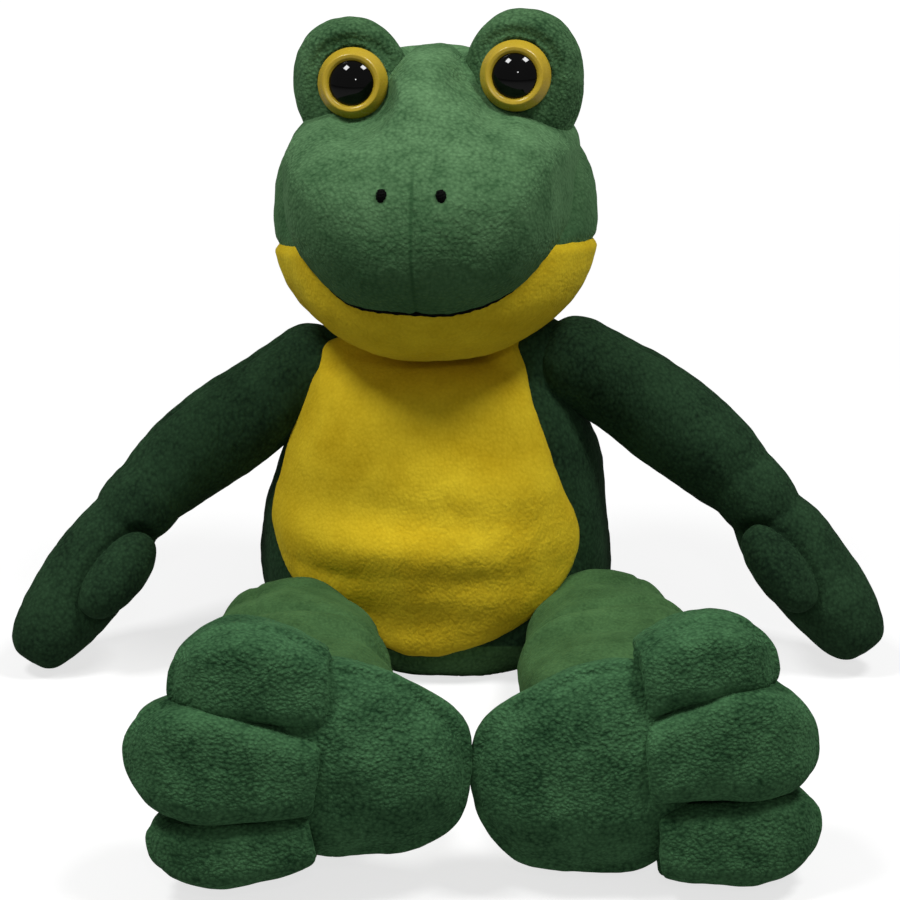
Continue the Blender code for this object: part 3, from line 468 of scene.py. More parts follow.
def plush(name, deep, tip, tuft, rough, contrast, lay=(1, 1, 1), patch=90.0, painted_shade=None, seam=None, seat=None):
    """Short pile: tufts lying one way, lighter at their tips, in patches where the nap was brushed.

    It can carry painted shade, darker below one height and fading out by another, show a seam down its
    middle, or turn to another cloth below a slope.
    """
    finish = Finish(bpy.data.materials.new(name))
    place = finish.node("TexCoord", take="Object")
    drift = finish.node("TexNoise", {}, {"Vector": place, "Scale": 220.0, "Detail": 1.0}, take="Color")
    bent = finish.node(
        "VectorMath", {"operation": "MULTIPLY_ADD"}, {0: drift, 1: (0.0008, 0.0008, 0.0008), 2: place}
    )
    laid = finish.node("Mapping", {}, {"Vector": bent, "Scale": lay})
    tufts = finish.node("TexVoronoi", {"feature": "F1"}, {"Vector": laid, "Scale": 1 / tuft})
    fibres = finish.node(
        "TexNoise", {}, {"Vector": laid, "Scale": 0.9 / tuft, "Detail": 2.0, "Roughness": 0.5}
    )
    brushed = finish.node(
        "TexNoise", {}, {"Vector": place, "Scale": patch, "Detail": 2.0, "Roughness": 0.55}
    )
    height = (0.6 - tufts) * 0.8 + fibres
    light = 0.5 + (height - 0.60) * contrast + (brushed - 0.5) * 1.1
    tipped = finish.ramp(light, ((0.05, 0.0), (0.95, 1.0)))
    colour = finish.mixed(tipped, deep, tip)
    if seat:
        slope, top, seat_deep, seat_tip = seat
        over = finish.dot(place, slope) - top
        sewn = finish.ramp(over * 1000 + 0.5, ((0.2, 1.0), (0.8, 0.0)))
        colour = finish.mixed(sewn, colour, finish.mixed(tipped, seat_deep, seat_tip))
    # Painted shade: the colour goes towards its deep colour below a height and fades out by a higher one
    if painted_shade:
        low, high, share = painted_shade
        z = finish.node("SeparateXYZ", {}, {0: place}, take="Z")
        shade = finish.ramp((z - low) / (high - low), ((0.0, share), (1.0, 0.0)))
        colour = finish.mixed(shade, colour, deep)
    if seam:
        at, across, top = seam
        off = finish.node("VectorMath", {"operation": "SUBTRACT"}, {0: place, 1: at})
        away = finish.dot(off, across)
        along_seam = finish.ramp(away.maths("ABSOLUTE", away) * 1000, ((0.20, 0.85), (0.75, 0.0)))
        below = finish.ramp((finish.dot(off, UP) - top) * 100 + 0.5, ((0.2, 1.0), (0.8, 0.0)))
        colour = finish.mixed(along_seam * below, colour, deep)
    bump = finish.node("Bump", {}, {"Strength": 1.0, "Distance": rough, "Height": height})
    shader = finish.node(
        "BsdfPrincipled",
        {},
        {
            "Base Color": colour,
            "Roughness": 0.95,
            "Specular IOR Level": 0.1,
            "Sheen Weight": 0.16,
            "Sheen Roughness": 0.5,
            "Sheen Tint": tuple(min(1.0, 3.0 * c) for c in tip[:3]) + (1,),
            "Normal": bump,
        },
    )
    return finish.shown(shader)


def moulded(name, colours, rough, gloss):
    """Moulded plastic with faint handling marks."""
    finish = Finish(bpy.data.materials.new(name))
    place = finish.node("TexCoord", take="Object")
    smears = finish.node("TexNoise", {}, {"Vector": place, "Scale": 500.0, "Detail": 3.0})
    marks = finish.ramp(smears, ((0.35, 0.0), (0.75, 1.0)))
    shade = finish.mixed(marks * 0.35, *colours)
    shader = finish.node(
        "BsdfPrincipled",
        {},
        {"Base Color": shade, "Roughness": marks * 0.04 + rough, "Specular IOR Level": gloss},
    )
    return finish.shown(shader)


def thread(name, colours):
    """Satin thread with fine strands."""
    finish = Finish(bpy.data.materials.new(name))
    place = finish.node("TexCoord", take="Object")
    strands = finish.node(
        "TexWave",
        {"bands_direction": "X"},
        {"Vector": place, "Scale": 700.0, "Distortion": 2.0, "Detail": 2.0},
    )
    shade = finish.mixed(strands, *colours)
    bump = finish.node("Bump", {}, {"Strength": 0.6, "Distance": 0.0002, "Height": strands})
    shader = finish.node(
        "BsdfPrincipled",
        {},
        {"Base Color": shade, "Roughness": strands * 0.2 + 0.5, "Specular IOR Level": 0.04, "Normal": bump},
    )
    return finish.shown(shader)


# Frames and forms


def joint(name):
    return next(found for found in frame["joints"] if found["name"] == name)


def joint_at(name):
    return Vector(joint(name)["pos_m"])


def joint_axis(name):
    return Vector(joint(name)["axis"]).normalized()


def frame_of(at, across, back):
    """The frame at a point with its x across, its y back and its z the upright of the two."""
    up = across.cross(back)
    return Matrix.Translation(at) @ Matrix((across, back, up)).transposed().to_4x4()


def level_frame(at, across):
    return frame_of(at, across, UP.cross(across).normalized())


def farthest(node, point):
    """The point of a CAD node that lies farthest from another."""
    corners = (vertex.co for vertex in frame["nodes"][node].data.vertices)
    return max(corners, key=lambda corner: (corner - point).length)


def shares_at(rows, places):
    """A table of shares read at many places, on a smooth curve through its rows."""
    table = np.array(rows)
    stops, values = table[:, 0], table[:, 1:]
    slopes = np.gradient(values, stops, axis=0) if len(stops) > 2 else np.zeros_like(values)
    k = np.clip(np.searchsorted(stops, places, side="right") - 1, 0, len(stops) - 2)
    span = (stops[k + 1] - stops[k])[:, None]
    t = (places - stops[k])[:, None] / span
    return (
        (2 * t**3 - 3 * t**2 + 1) * values[k]
        + (t**3 - 2 * t**2 + t) * span * slopes[k]
        + (3 * t**2 - 2 * t**3) * values[k + 1]
        + (t**3 - t**2) * span * slopes[k + 1]
    )


def signed_power(values, power):
    return np.sign(values) * np.abs(values) ** power


def closed_rings(count, around):
    """The faces of a closed form whose points are one end, its rings of points and the other end."""
    faces = []
    for i in range(count - 1):
        near, far = 1 + i * around, 1 + (i + 1) * around
        for j in range(around):
            n = (j + 1) % around
            faces.append((near + j, near + n, far + n, far + j))
    last = 1 + count * around
    for j in range(around):
        n = (j + 1) % around
        faces.append((0, 1 + n, 1 + j))
        faces.append((last, last - around + j, last - around + n))
    return faces


def stuffed(start, end, halves, rows=EVEN, fullness=0.5, square=1.0, across=(1, 0, 0), bow=(0, 0, 0)):
    """The points and faces of a stuffed form along a line, closed round at both ends.

    A fullness under 0.5 makes blunter ends; a pair of them is for the start and the end.
    """
    steps, around = 56, 72
    start, end, across, bow = (np.array(vector, float) for vector in (start, end, across, bow))
    along = (end - start) / np.linalg.norm(end - start)
    side = across - along * (across @ along)
    side /= np.linalg.norm(side)
    depth = np.cross(along, side)
    turn = math.pi * np.arange(1, steps) / steps
    share = (1 - np.cos(turn)) / 2
    blunt, round_end = fullness if isinstance(fullness, tuple) else (fullness, fullness)
    swell = np.sin(turn) ** (2 * (blunt + (round_end - blunt) * share))
    width, front, back = (shares_at(rows, share) * swell[:, None] * halves).T
    angle = 2 * math.pi * np.arange(around) / around
    out = signed_power(np.cos(angle), 1 / square)
    deep = signed_power(np.sin(angle), 1 / square)
    middle = start + np.outer(share, end - start) + np.outer(np.sin(turn) ** 2, bow)
    depths = np.where(deep < 0, front[:, None], back[:, None]) * deep
    body = middle[:, None] + (width[:, None] * out)[..., None] * side + depths[..., None] * depth
    return np.vstack([start, body.reshape(-1, 3), end]), closed_rings(steps - 1, around)


def moved(form, matrix):
    """A form carried into another frame."""
    points, faces = form
    turn = np.array(matrix)
    return points @ turn[:3, :3].T + turn[:3, 3], faces


def new_piece(name, points, faces):
    mesh = bpy.data.meshes.new(name)
    mesh.from_pydata([tuple(point) for point in points], [], faces)
    shaper = bmesh.new()
    shaper.from_mesh(mesh)
    bmesh.ops.recalc_face_normals(shaper, faces=shaper.faces)
    shaper.to_mesh(mesh)
    shaper.free()
    piece = bpy.data.objects.new(name, mesh)
    bpy.context.scene.collection.objects.link(piece)
    return piece


def settled(piece):
    """Takes a piece's modifiers into its mesh."""
    bpy.context.view_layer.update()
    seen = piece.evaluated_get(bpy.context.evaluated_depsgraph_get())
    mesh = bpy.data.meshes.new_from_object(seen)
    piece.modifiers.clear()
    piece.data = mesh
    return piece


def skin_over(name, forms, step=SKIN_STEP, ease=3):
    """One even skin over forms that overlap, with the creases between them eased."""
    points, faces, count = [], [], 0
    for form_points, form_faces in forms:
        faces += [[count + corner for corner in face] for face in form_faces]
        points.append(form_points)
        count += len(form_points)
    piece = new_piece(name, np.vstack(points), faces)
    remesh = piece.modifiers.new("even skin", "REMESH")
    remesh.mode = "VOXEL"
    remesh.voxel_size = step
    return eased(piece, ease)


def eased(piece, times):
    """Softens a skin's sharp bends."""
    smooth = piece.modifiers.new("eased", "SMOOTH")
    smooth.factor = 0.5
    smooth.iterations = times
    return settled(piece)


def copy_of(piece, name):
    twin = bpy.data.objects.new(name, piece.data.copy())
    bpy.context.scene.collection.objects.link(twin)
    return twin


def points_of(mesh):
    points = np.empty(len(mesh.vertices) * 3)
    mesh.vertices.foreach_get("co", points)
    return points.reshape(-1, 3)


def sculpt(piece, *moves):
    """Moves a skin's points: a move gets points and normals and gives distances outwards, or vectors."""
    mesh = piece.data
    for move in moves:
        points = points_of(mesh)
        normals = np.empty(len(mesh.vertices) * 3)
        mesh.vertex_normals.foreach_get("vector", normals)
        normals = normals.reshape(-1, 3)
        change = move(points, normals)
        if change.ndim == 1:
            change = normals * change[:, None]
        mesh.vertices.foreach_set("co", (points + change).ravel())
        mesh.update()


def lumps(size, height, seed):
    """A soft unevenness of one size all over a skin, the same each time."""
    count = 40
    chance = np.random.default_rng(seed)
    waves = chance.normal(size=(count, 3)) * 4.0 / size
    shifts = chance.uniform(0, 2 * math.pi, count)
    even_out = math.sqrt(2 / count)
    return lambda points, normals: height * np.sin(points @ waves.T + shifts).sum(1) * even_out


def nap(seed):
    """The pile's own unevenness, as fine as a skin's points can hold."""
    return lumps(NAP_SIZE, NAP_HEIGHT, seed)


def hump(distance, width):
    return np.exp(-((distance / width) ** 2))


def ridge(distance, size):
    """A soft ridge, of a height and a width, along the line that points lie at a distance from."""
    height, width = size
    return height * hump(distance, width)


def ramped(values, low, high):
    """0 below low, 1 above high and smooth between."""
    t = np.clip((values - low) / (high - low), 0, 1)
    return t * t * (3 - 2 * t)


def inside_outline(x, z, outline):
    """How far points lie inside a closed outline, less than nothing outside it."""
    ends = np.roll(outline, -1, axis=0)
    nearest = np.full(len(x), np.inf)
    inside = np.zeros(len(x), bool)
    for (ax, az), (bx, bz) in zip(outline, ends):
        run = (bx - ax) ** 2 + (bz - az) ** 2
        t = np.clip(((x - ax) * (bx - ax) + (z - az) * (bz - az)) / run, 0, 1)
        nearest = np.minimum(nearest, np.hypot(x - ax - t * (bx - ax), z - az - t * (bz - az)))
        if az != bz:
            crossed = (az > z) != (bz > z)
            inside ^= crossed & (x < ax + (z - az) / (bz - az) * (bx - ax))
    return np.where(inside, nearest, -nearest)


def panel_edge(inside, edge, sink):
    """How far a panel stands out: under its neighbour outside its seam, and proud of it inside."""
    return PANEL_RISE * ramped(inside, *edge) - sink


def trimmed(piece, inside):
    """Keeps one panel of a skin and gives it the thickness of its cloth, closed all round."""
    shaper = bmesh.new()
    shaper.from_mesh(piece.data)
    kept = inside(points_of(piece.data)) > -PANEL_MARGIN
    bmesh.ops.delete(shaper, geom=[v for v, k in zip(shaper.verts, kept) if not k], context="VERTS")
    loose = [v for v in shaper.verts if not v.link_faces]
    bmesh.ops.delete(shaper, geom=loose, context="VERTS")
    shaper.to_mesh(piece.data)
    shaper.free()
    cloth = piece.modifiers.new("cloth", "SOLIDIFY")
    cloth.thickness = PANEL_CLOTH
    cloth.offset = -1
    return settled(piece)


def dressed(piece, place, finish, nodes, body):
    """Puts a finished piece in its place, gives it its material, hides the parts that it stands for and hangs
    it on its body, if it has one.
    """
    piece.data.transform(place)
    if place.determinant() < 0:
        piece.data.flip_normals()
    piece.data.materials.clear()
    piece.data.materials.append(finish)
    piece.data.shade_smooth()
    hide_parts(*nodes)
    if body:
        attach(piece, body)


# Torso


def belly_outline():
    steps = np.linspace(0, 1, 60)
    half = BELLY_HALF_WIDTH * shares_at(BELLY_SHARES, steps)[:, 0]
    shift = BELLY_SHIFTS[0] + (BELLY_SHIFTS[1] - BELLY_SHIFTS[0]) * steps
    height = BELLY_LOW + (BELLY_TOP - BELLY_LOW) * steps
    right = np.stack([shift + half, height], axis=1)
    left = np.stack([shift - half, height], axis=1)[::-1]
    under_chin = np.array((0, BELLY_UNDER_CHIN))
    return np.vstack([right, right[-1] + under_chin, left[0] + under_chin, left])


def belly_inside(points):
    """How far inside the belly panel's seam each point of the torso's front lies."""
    inside = inside_outline(points[:, 0], points[:, 2], belly_outline())
    return np.minimum(inside, -BELLY_BACK - points[:, 1])


def seat_flat(points, normals):
    change = np.zeros_like(points)
    change[:, 2] = np.maximum(points[:, 2], 0) - points[:, 2]
    return change


# Middle of each soft fold across the belly, its half width and half height, and how far it stands out
BELLY_FOLDS = (
    (-0.006, 0.0520, 0.034, 0.0060, -0.0014),
    (-0.010, 0.0420, 0.036, 0.0055, 0.0018),
    (0.016, 0.0330, 0.016, 0.0045, -0.0010),
    (-0.004, 0.0180, 0.034, 0.0110, -0.0034),
    (-0.006, 0.0720, 0.020, 0.0090, -0.0008),
    (0.018, 0.0560, 0.016, 0.0070, 0.0008),
    (-0.026, 0.0330, 0.012, 0.0035, -0.0012),
)


def belly_folds(points, normals):
    change = np.zeros(len(points))
    for x, z, wide, high, height in BELLY_FOLDS:
        change += ridge(points[:, 0] - x, (height, wide)) * hump(points[:, 2] - z, high)
    return change * (points[:, 1] < 0)


def neck_room(points, normals):
    """Draws the torso in under the chin, where the head nods and turns."""
    ahead = 1 - ramped(points[:, 1], -NECK_ROOM_BACK, 0.0)
    return -NECK_ROOM * ramped(points[:, 2], TORSO_HEIGHT - NECK_ROOM_DEPTH, TORSO_HEIGHT) * ahead


def make_torso(dark, yellow):
    place = level_frame(Vector((0, 0, 0)), -joint_axis("shoulder_swing_left"))
    low, high = (TORSO_SHIFT, 0, -SEAT_SINK), (TORSO_SHIFT, 0, TORSO_HEIGHT)
    forms = [stuffed(low, high, TORSO_HALVES, TORSO_SHARES, fullness=TORSO_FULLNESS)]
    for side in (LEFT, RIGHT):
        shoulder = place.inverted() @ joint_at("shoulder_raise_" + SIDE_NAMES[side]) + UP * YOKE_LIFT
        inner = Vector((side * YOKE_INNER[0], YOKE_INNER[1], YOKE_INNER[2]))
        yoke = stuffed(inner, shoulder, (YOKE_RADIUS,) * 3, fullness=YOKE_FULLNESS, across=(0, 0, 1))
        forms.append(yoke)
    torso = skin_over("torso_skin", forms, SKIN_STEP, 6)
    sculpt(torso, belly_folds, lumps(*UNEVENNESS["torso"], 3), neck_room)
    belly = copy_of(torso, "belly_skin")
    sculpt(
        torso,
        lambda points, normals: -ridge(belly_inside(points), BELLY_SEAM),
        lambda points, normals: -UNDER_BELLY[0] * ramped(belly_inside(points), 0.0, UNDER_BELLY[1]),
        nap(4),
        seat_flat,
    )
    sculpt(
        belly,
        lambda points, normals: panel_edge(belly_inside(points), BELLY_EDGE, BELLY_SINK),
        lambda points, normals: BELLY_CROWN[0] * ramped(belly_inside(points), 0.0, BELLY_CROWN[1]),
        nap(5),
        seat_flat,
    )
    trimmed(belly, belly_inside)
    filling = ("torso_back", "torso_stuffing", "bean_pouch")
    dressed(torso, place, dark, filling, "torso")
    dressed(belly, place, yellow, ("belly_panel",), "torso")


# Head


def mouth_height(points):
    """How far points lie above the seam between cheek and jaw."""
    front = points[:, 1] + HEAD_FORWARD + HEAD_HALVES[1]
    return points[:, 2] - MOUTH_RISE - front * math.tan(MOUTH_SLOPE) + points[:, 0] * math.tan(MOUTH_LEAN)


def tilted(points):
    """Turns places on the face about its middle, because the head leans more than the muzzle does."""
    middle = np.array((0, 0, MUZZLE_TILT_RISE))
    turn = np.array(Matrix.Rotation(MUZZLE_TILT, 3, "Y"))
    return (np.array(points) - middle) @ turn.T + middle


def smile(form):
    points, faces = form
    share = (points[:, 2] - MUZZLE_LOW) / MUZZLE_HEIGHT
    lift = MUZZLE_SMILE * (points[:, 0] / MUZZLE_HALVES[0]) ** 2 * np.maximum(0, 1 - share)
    return tilted(points + lift[:, None] * (0, 0, 1)), faces


def dart(points, normals):
    """The dart's seam down the muzzle's middle."""
    front = points[:, 1] < -HEAD_FORWARD
    below = 1 - ramped(points[:, 2], DART_TOP - DART_FADE, DART_TOP)
    middle = (points[:, 2] - MUZZLE_TILT_RISE) * math.sin(MUZZLE_TILT)
    return -ridge(points[:, 0] - middle, DART_SEAM) * below * front


def eye_frame(side):
    seat = Vector((side * EYE_SIDE + EYE_SHIFT, -EYE_FORWARD, EYE_RISE))
    return Matrix.Translation(seat) @ Matrix.Rotation(EYE_TILT, 4, "X")


def before_eye(side, points):
    """Places in the frame of an eye's seat, their distance from its axis, and the way back along it."""
    seat = np.array(eye_frame(side).inverted())
    x, y, z = (points @ seat[:3, :3].T + seat[:3, 3]).T
    return x, y, z, np.hypot(x, z), np.linalg.inv(seat[:3, :3])[:, 1]


def lids(side):
    """Beds the eye's disc in its mound and raises a lid of cloth round it, most above and outside it."""

    def move(points, normals):
        x, y, z, away, back = before_eye(side, points)
        front = (y < EYE_REACH) & (normals @ back < 0.1)
        over = ramped(z + LID_SLANT * side * x, -LID_FADE, LID_FADE)
        lid = ridge(away - IRIS_RADIUS - LID_OUT, (LID_RIDGE, LID_WIDTH)) * over
        dip = -ridge(away - IRIS_RADIUS - LID_GAP, LID_GROOVE)
        pressed = away < IRIS_RADIUS + EYE_PRESS_MARGIN
        bed = np.where(pressed, np.maximum(EYE_PRESS - y, 0.0), 0.0)
        change = np.where(front, lid + dip, 0.0)[:, None] * -back
        return np.where(((bed > 0) & front)[:, None], bed[:, None] * back, change)

    return move


def cleared(side):
    """Keeps a skin out of the way of the eye's disc: behind it, and in a wide hollow round it."""

    def move(points, normals):
        x, y, z, away, back = before_eye(side, points)
        limit = EYE_BED - EYE_HOLLOW * np.maximum(away - IRIS_RADIUS - EYE_BED_MARGIN, 0)
        sunk = np.where(y > -EYE_HOLLOW_REACH, np.maximum(limit - y, 0), 0)
        return sunk[:, None] * back

    return move


def turned(profile, around=96):
    """The points and faces of a round piece about the Y axis, from the (radius, place) points of its side."""
    turn = 2 * math.pi * np.arange(around) / around
    rings = [
        np.stack([radius * np.cos(turn), np.full(around, along), radius * np.sin(turn)], axis=1)
        for radius, along in profile[1:-1]
    ]
    points = np.vstack([(0, profile[0][1], 0), *rings, (0, profile[-1][1], 0)])
    return points, closed_rings(len(rings), around)


def rounded(points, steps=6):
    """A profile with its corners drawn round."""
    smooth = [points[0]]
    for before, corner, after in zip(points, points[1:], points[2:]):
        before, corner, after = np.array(before), np.array(corner), np.array(after)
        start, end = before * 0.25 + corner * 0.75, after * 0.25 + corner * 0.75
        for t in np.linspace(0, 1, steps + 1):
            point = (1 - t) ** 2 * start + 2 * t * (1 - t) * corner + t**2 * end
            smooth.append((max(point[0], 0.00001), point[1]))
    smooth.append(points[-1])
    return smooth


def make_eye(side, head, disc_finish, dome_finish):
    name = SIDE_NAMES[side]
    place = head @ eye_frame(side)
    front = -IRIS_DEPTH
    disc = rounded(
        (
            (0, IRIS_BACK),
            (IRIS_RADIUS - IRIS_RIM, IRIS_BACK),
            (IRIS_RADIUS, IRIS_BACK - 0.0014),
            (IRIS_RADIUS, front + 2.0 * IRIS_RIM),
            (IRIS_RADIUS - 1.2 * IRIS_RIM, front),
            (PUPIL_RADIUS + 0.0006, front + 0.0003),
            (PUPIL_RADIUS - 0.0001, front + 0.0011),
            (0, front + 0.0013),
        )
    )
    iris = new_piece("eye_disc_" + name, *turned(disc))
    base = front + PUPIL_SEAT
    curve = (PUPIL_RADIUS**2 + PUPIL_DOME**2) / (2 * PUPIL_DOME)
    widest = math.asin(PUPIL_RADIUS / curve)
    cap = [
        (curve * math.sin(angle), base - PUPIL_DOME + curve * (1 - math.cos(angle)))
        for angle in np.linspace(widest, 0.02, 24)
    ]
    back = ((0, base + IRIS_BACK), (PUPIL_RADIUS - 0.0001, base + IRIS_BACK))
    dome = new_piece("eye_dome_" + name, *turned([*back, *cap, (0, base - PUPIL_DOME)]))
    dressed(iris, place, disc_finish, ("eye_iris_" + name,), "head")
    dressed(dome, place, dome_finish, ("eye_pupil_" + name,), "head")


def creased(tree, seam):
    """Draws a skin in along its seam with another piece."""

    def move(points, normals):
        away = np.array([tree.find_nearest(Vector(point))[3] for point in points])
        return -ridge(away, seam)

    return move


def tree_of(piece):
    shape = bmesh.new()
    shape.from_mesh(piece.data)
    tree = BVHTree.FromBMesh(shape)
    shape.free()
    return tree


def surface_out(tree, out, height):
    """How far from the head's axis a skin reaches in one direction at one height."""
    axis = UP * height - Vector((0, HEAD_FORWARD, 0))
    hit = tree.ray_cast(axis + out * FACE_AHEAD, -out, FACE_AHEAD)[0]
    return (hit - axis).length if hit else 0.0


def mouth_line(muzzle, jaw):
    """The lower edge of the muzzle where it meets the jaw, from cheek to cheek."""
    line = []
    for turn in np.linspace(-THREAD_REACH, THREAD_REACH, THREAD_POINTS):
        out = Vector((math.sin(turn), -math.cos(turn), 0))
        low, high = MOUTH_HEIGHTS
        for _ in range(18):
            middle = (low + high) / 2
            if surface_out(muzzle, out, middle) > surface_out(jaw, out, middle):
                high = middle
            else:
                low = middle
        line.append(out * surface_out(jaw, out, low) + UP * low - Vector((0, HEAD_FORWARD, 0)))
    for _ in range(30):
        line[1:-1] = [(a + 2 * b + c) / 4 for a, b, c in zip(line, line[1:], line[2:])]
    return line


def thread_along(line, radius, strands=2):
    """The points and faces of a twisted thread laid along a line, thin at its ends."""
    around = 12
    points = [line[0]]
    for i in range(1, len(line) - 1):
        along = (line[i + 1] - line[i - 1]).normalized()
        side = (UP - along * along.z).normalized()
        out = along.cross(side)
        thin = min(1.0, i / THREAD_ENDS, (len(line) - 1 - i) / THREAD_ENDS) ** 0.5
        for j in range(around):
            turn = 2 * math.pi * j / around
            twist = 1 + 0.16 * math.cos(turn * strands + 0.9 * i)
            size = radius * thin * twist * (1 + 0.12 * math.sin(1.7 * i))
            points.append(line[i] + (out * math.cos(turn) + side * math.sin(turn)) * size)
    points.append(line[-1])
    return np.array(points), closed_rings(len(line) - 2, around)


def make_nostril(side, head, muzzle_tree, finish):
    """A small pad of satin stitches on the muzzle."""
    name = SIDE_NAMES[side]
    start = Vector(tilted((side * NOSTRIL_SIDE, -FACE_AHEAD, NOSTRIL_RISE)))
    hit, normal, *_ = muzzle_tree.ray_cast(start, Vector((0, 1, 0)))
    half = NOSTRIL_HALVES[2]
    pad = stuffed((0, 0, -half), (0, 0, half), NOSTRIL_HALVES, fullness=NOSTRIL_FULLNESS)
    piece = skin_over("nostril_stitch_" + name, [pad], STITCH_STEP, 1)
    sculpt(
        piece,
        lambda points, normals: NOSTRIL_STITCH * np.sin(points[:, 2] / 0.00012 + points[:, 0] / 0.0008),
    )
    place = (
        head
        @ Matrix.Translation(hit - normal * NOSTRIL_BED)
        @ UP.cross(-normal).to_track_quat("X", "Z").to_matrix().to_4x4()
        @ Matrix.Rotation(side * NOSTRIL_SLANT, 4, "Y")
    )
    dressed(piece, place, finish, ("nostril_" + name,), "head")


def make_mound(side, head, finish):
    """A stuffed pocket that holds an eye, with a seam round its edge."""
    name = SIDE_NAMES[side]
    lean = Vector((side * math.sin(MOUND_SPREAD), 0, math.cos(MOUND_SPREAD))) * MOUND_HALVES[2]
    middle = Vector((side * MOUND_SIDE + MOUND_SHIFT, -MOUND_FORWARD, MOUND_RISE))
    halves = (MOUND_HALVES[0], MOUND_HALVES[1], MOUND_HALVES[1])
    form = stuffed(middle - lean, middle + lean, halves, fullness=MOUND_FULLNESS)
    mound = skin_over("eye_mound_skin_" + name, [form], FINE_STEP, 2)
    sculpt(
        mound,
        lids(side),
        lambda points, normals: -ridge(points[:, 1] + MOUND_FORWARD - MOUND_SEAM_BACK, MOUND_SEAM),
        nap(16 + side),
    )
    dressed(mound, head, finish, ("eye_mound_" + name,), "head")


def make_head(pale, deep, yellow, disc_finish, dome_finish, stitch, head):
    low = (HEAD_SHIFTS[0], -HEAD_FORWARD, HEAD_LOW)
    high = (HEAD_SHIFTS[1], -HEAD_FORWARD, HEAD_LOW + HEAD_HEIGHT)
    form = stuffed(low, high, HEAD_HALVES, HEAD_SHARES, fullness=HEAD_FULLNESS)
    skull = skin_over("head_skin", [form])
    sculpt(skull, lumps(*UNEVENNESS["head"], 11), cleared(LEFT), cleared(RIGHT))
    eased(skull, 6)
    jaw = copy_of(skull, "jaw_skin")
    sculpt(
        skull,
        lambda points, normals: -ridge(mouth_height(points), JAW_SEAM) * (points[:, 1] < JAW_BACK),
        nap(12),
    )

    def jaw_inside(points):
        return np.minimum(-mouth_height(points), JAW_BACK - points[:, 1])

    sculpt(jaw, lambda points, normals: panel_edge(jaw_inside(points), JAW_EDGE, JAW_SINK), nap(13))
    trimmed(jaw, jaw_inside)

    low, high = (0, -HEAD_FORWARD, MUZZLE_LOW), (0, -HEAD_FORWARD, MUZZLE_LOW + MUZZLE_HEIGHT)
    form = stuffed(
        low, high, MUZZLE_HALVES, MUZZLE_SHARES, fullness=MUZZLE_FULLNESS, square=MUZZLE_SQUARE
    )
    muzzle = skin_over("muzzle_skin", [smile(form)], FINE_STEP, 5)
    sculpt(muzzle, lumps(*UNEVENNESS["muzzle"], 14), cleared(LEFT), cleared(RIGHT))
    eased(muzzle, 8)
    sculpt(muzzle, dart, nap(15))

    muzzle_tree, jaw_tree = tree_of(muzzle), tree_of(jaw)
    beside = creased(muzzle_tree, MUZZLE_SEAM)
    sculpt(
        skull,
        lambda points, normals: beside(points, normals) * ramped(mouth_height(points), 0.0, MUZZLE_SEAM_FADE),
    )
    mouth = new_piece("mouth_stitch", *thread_along(mouth_line(muzzle_tree, jaw_tree), THREAD_RADIUS))
    dressed(mouth, head, stitch, ("mouth_thread",), "head")
    for side in (LEFT, RIGHT):
        # The mounds get the darker copy of the pale plush, which is painted shade
        make_mound(side, head, deep)
        make_nostril(side, head, muzzle_tree, stitch)
        make_eye(side, head, disc_finish, dome_finish)
    dressed(skull, head, pale, ("head_back", "head_stuffing"), "head")
    dressed(jaw, head, yellow, ("jaw_panel",), "head")
    dressed(muzzle, head, pale, ("muzzle",), "head")


def ball(radius):
    return stuffed((0, 0, -radius), (0, 0, radius), (radius,) * 3)


def make_neck(dark, head):
    radius = (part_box("neck")[1].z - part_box("neck")[0].z) / 2
    fold = skin_over("neck_fold", [ball(radius)])
    sculpt(fold, lambda points, normals: 0.0003 * np.sin(points[:, 2] * 2000), nap(21))
    dressed(fold, head, dark, ("neck",), "neck")


# Arms and legs


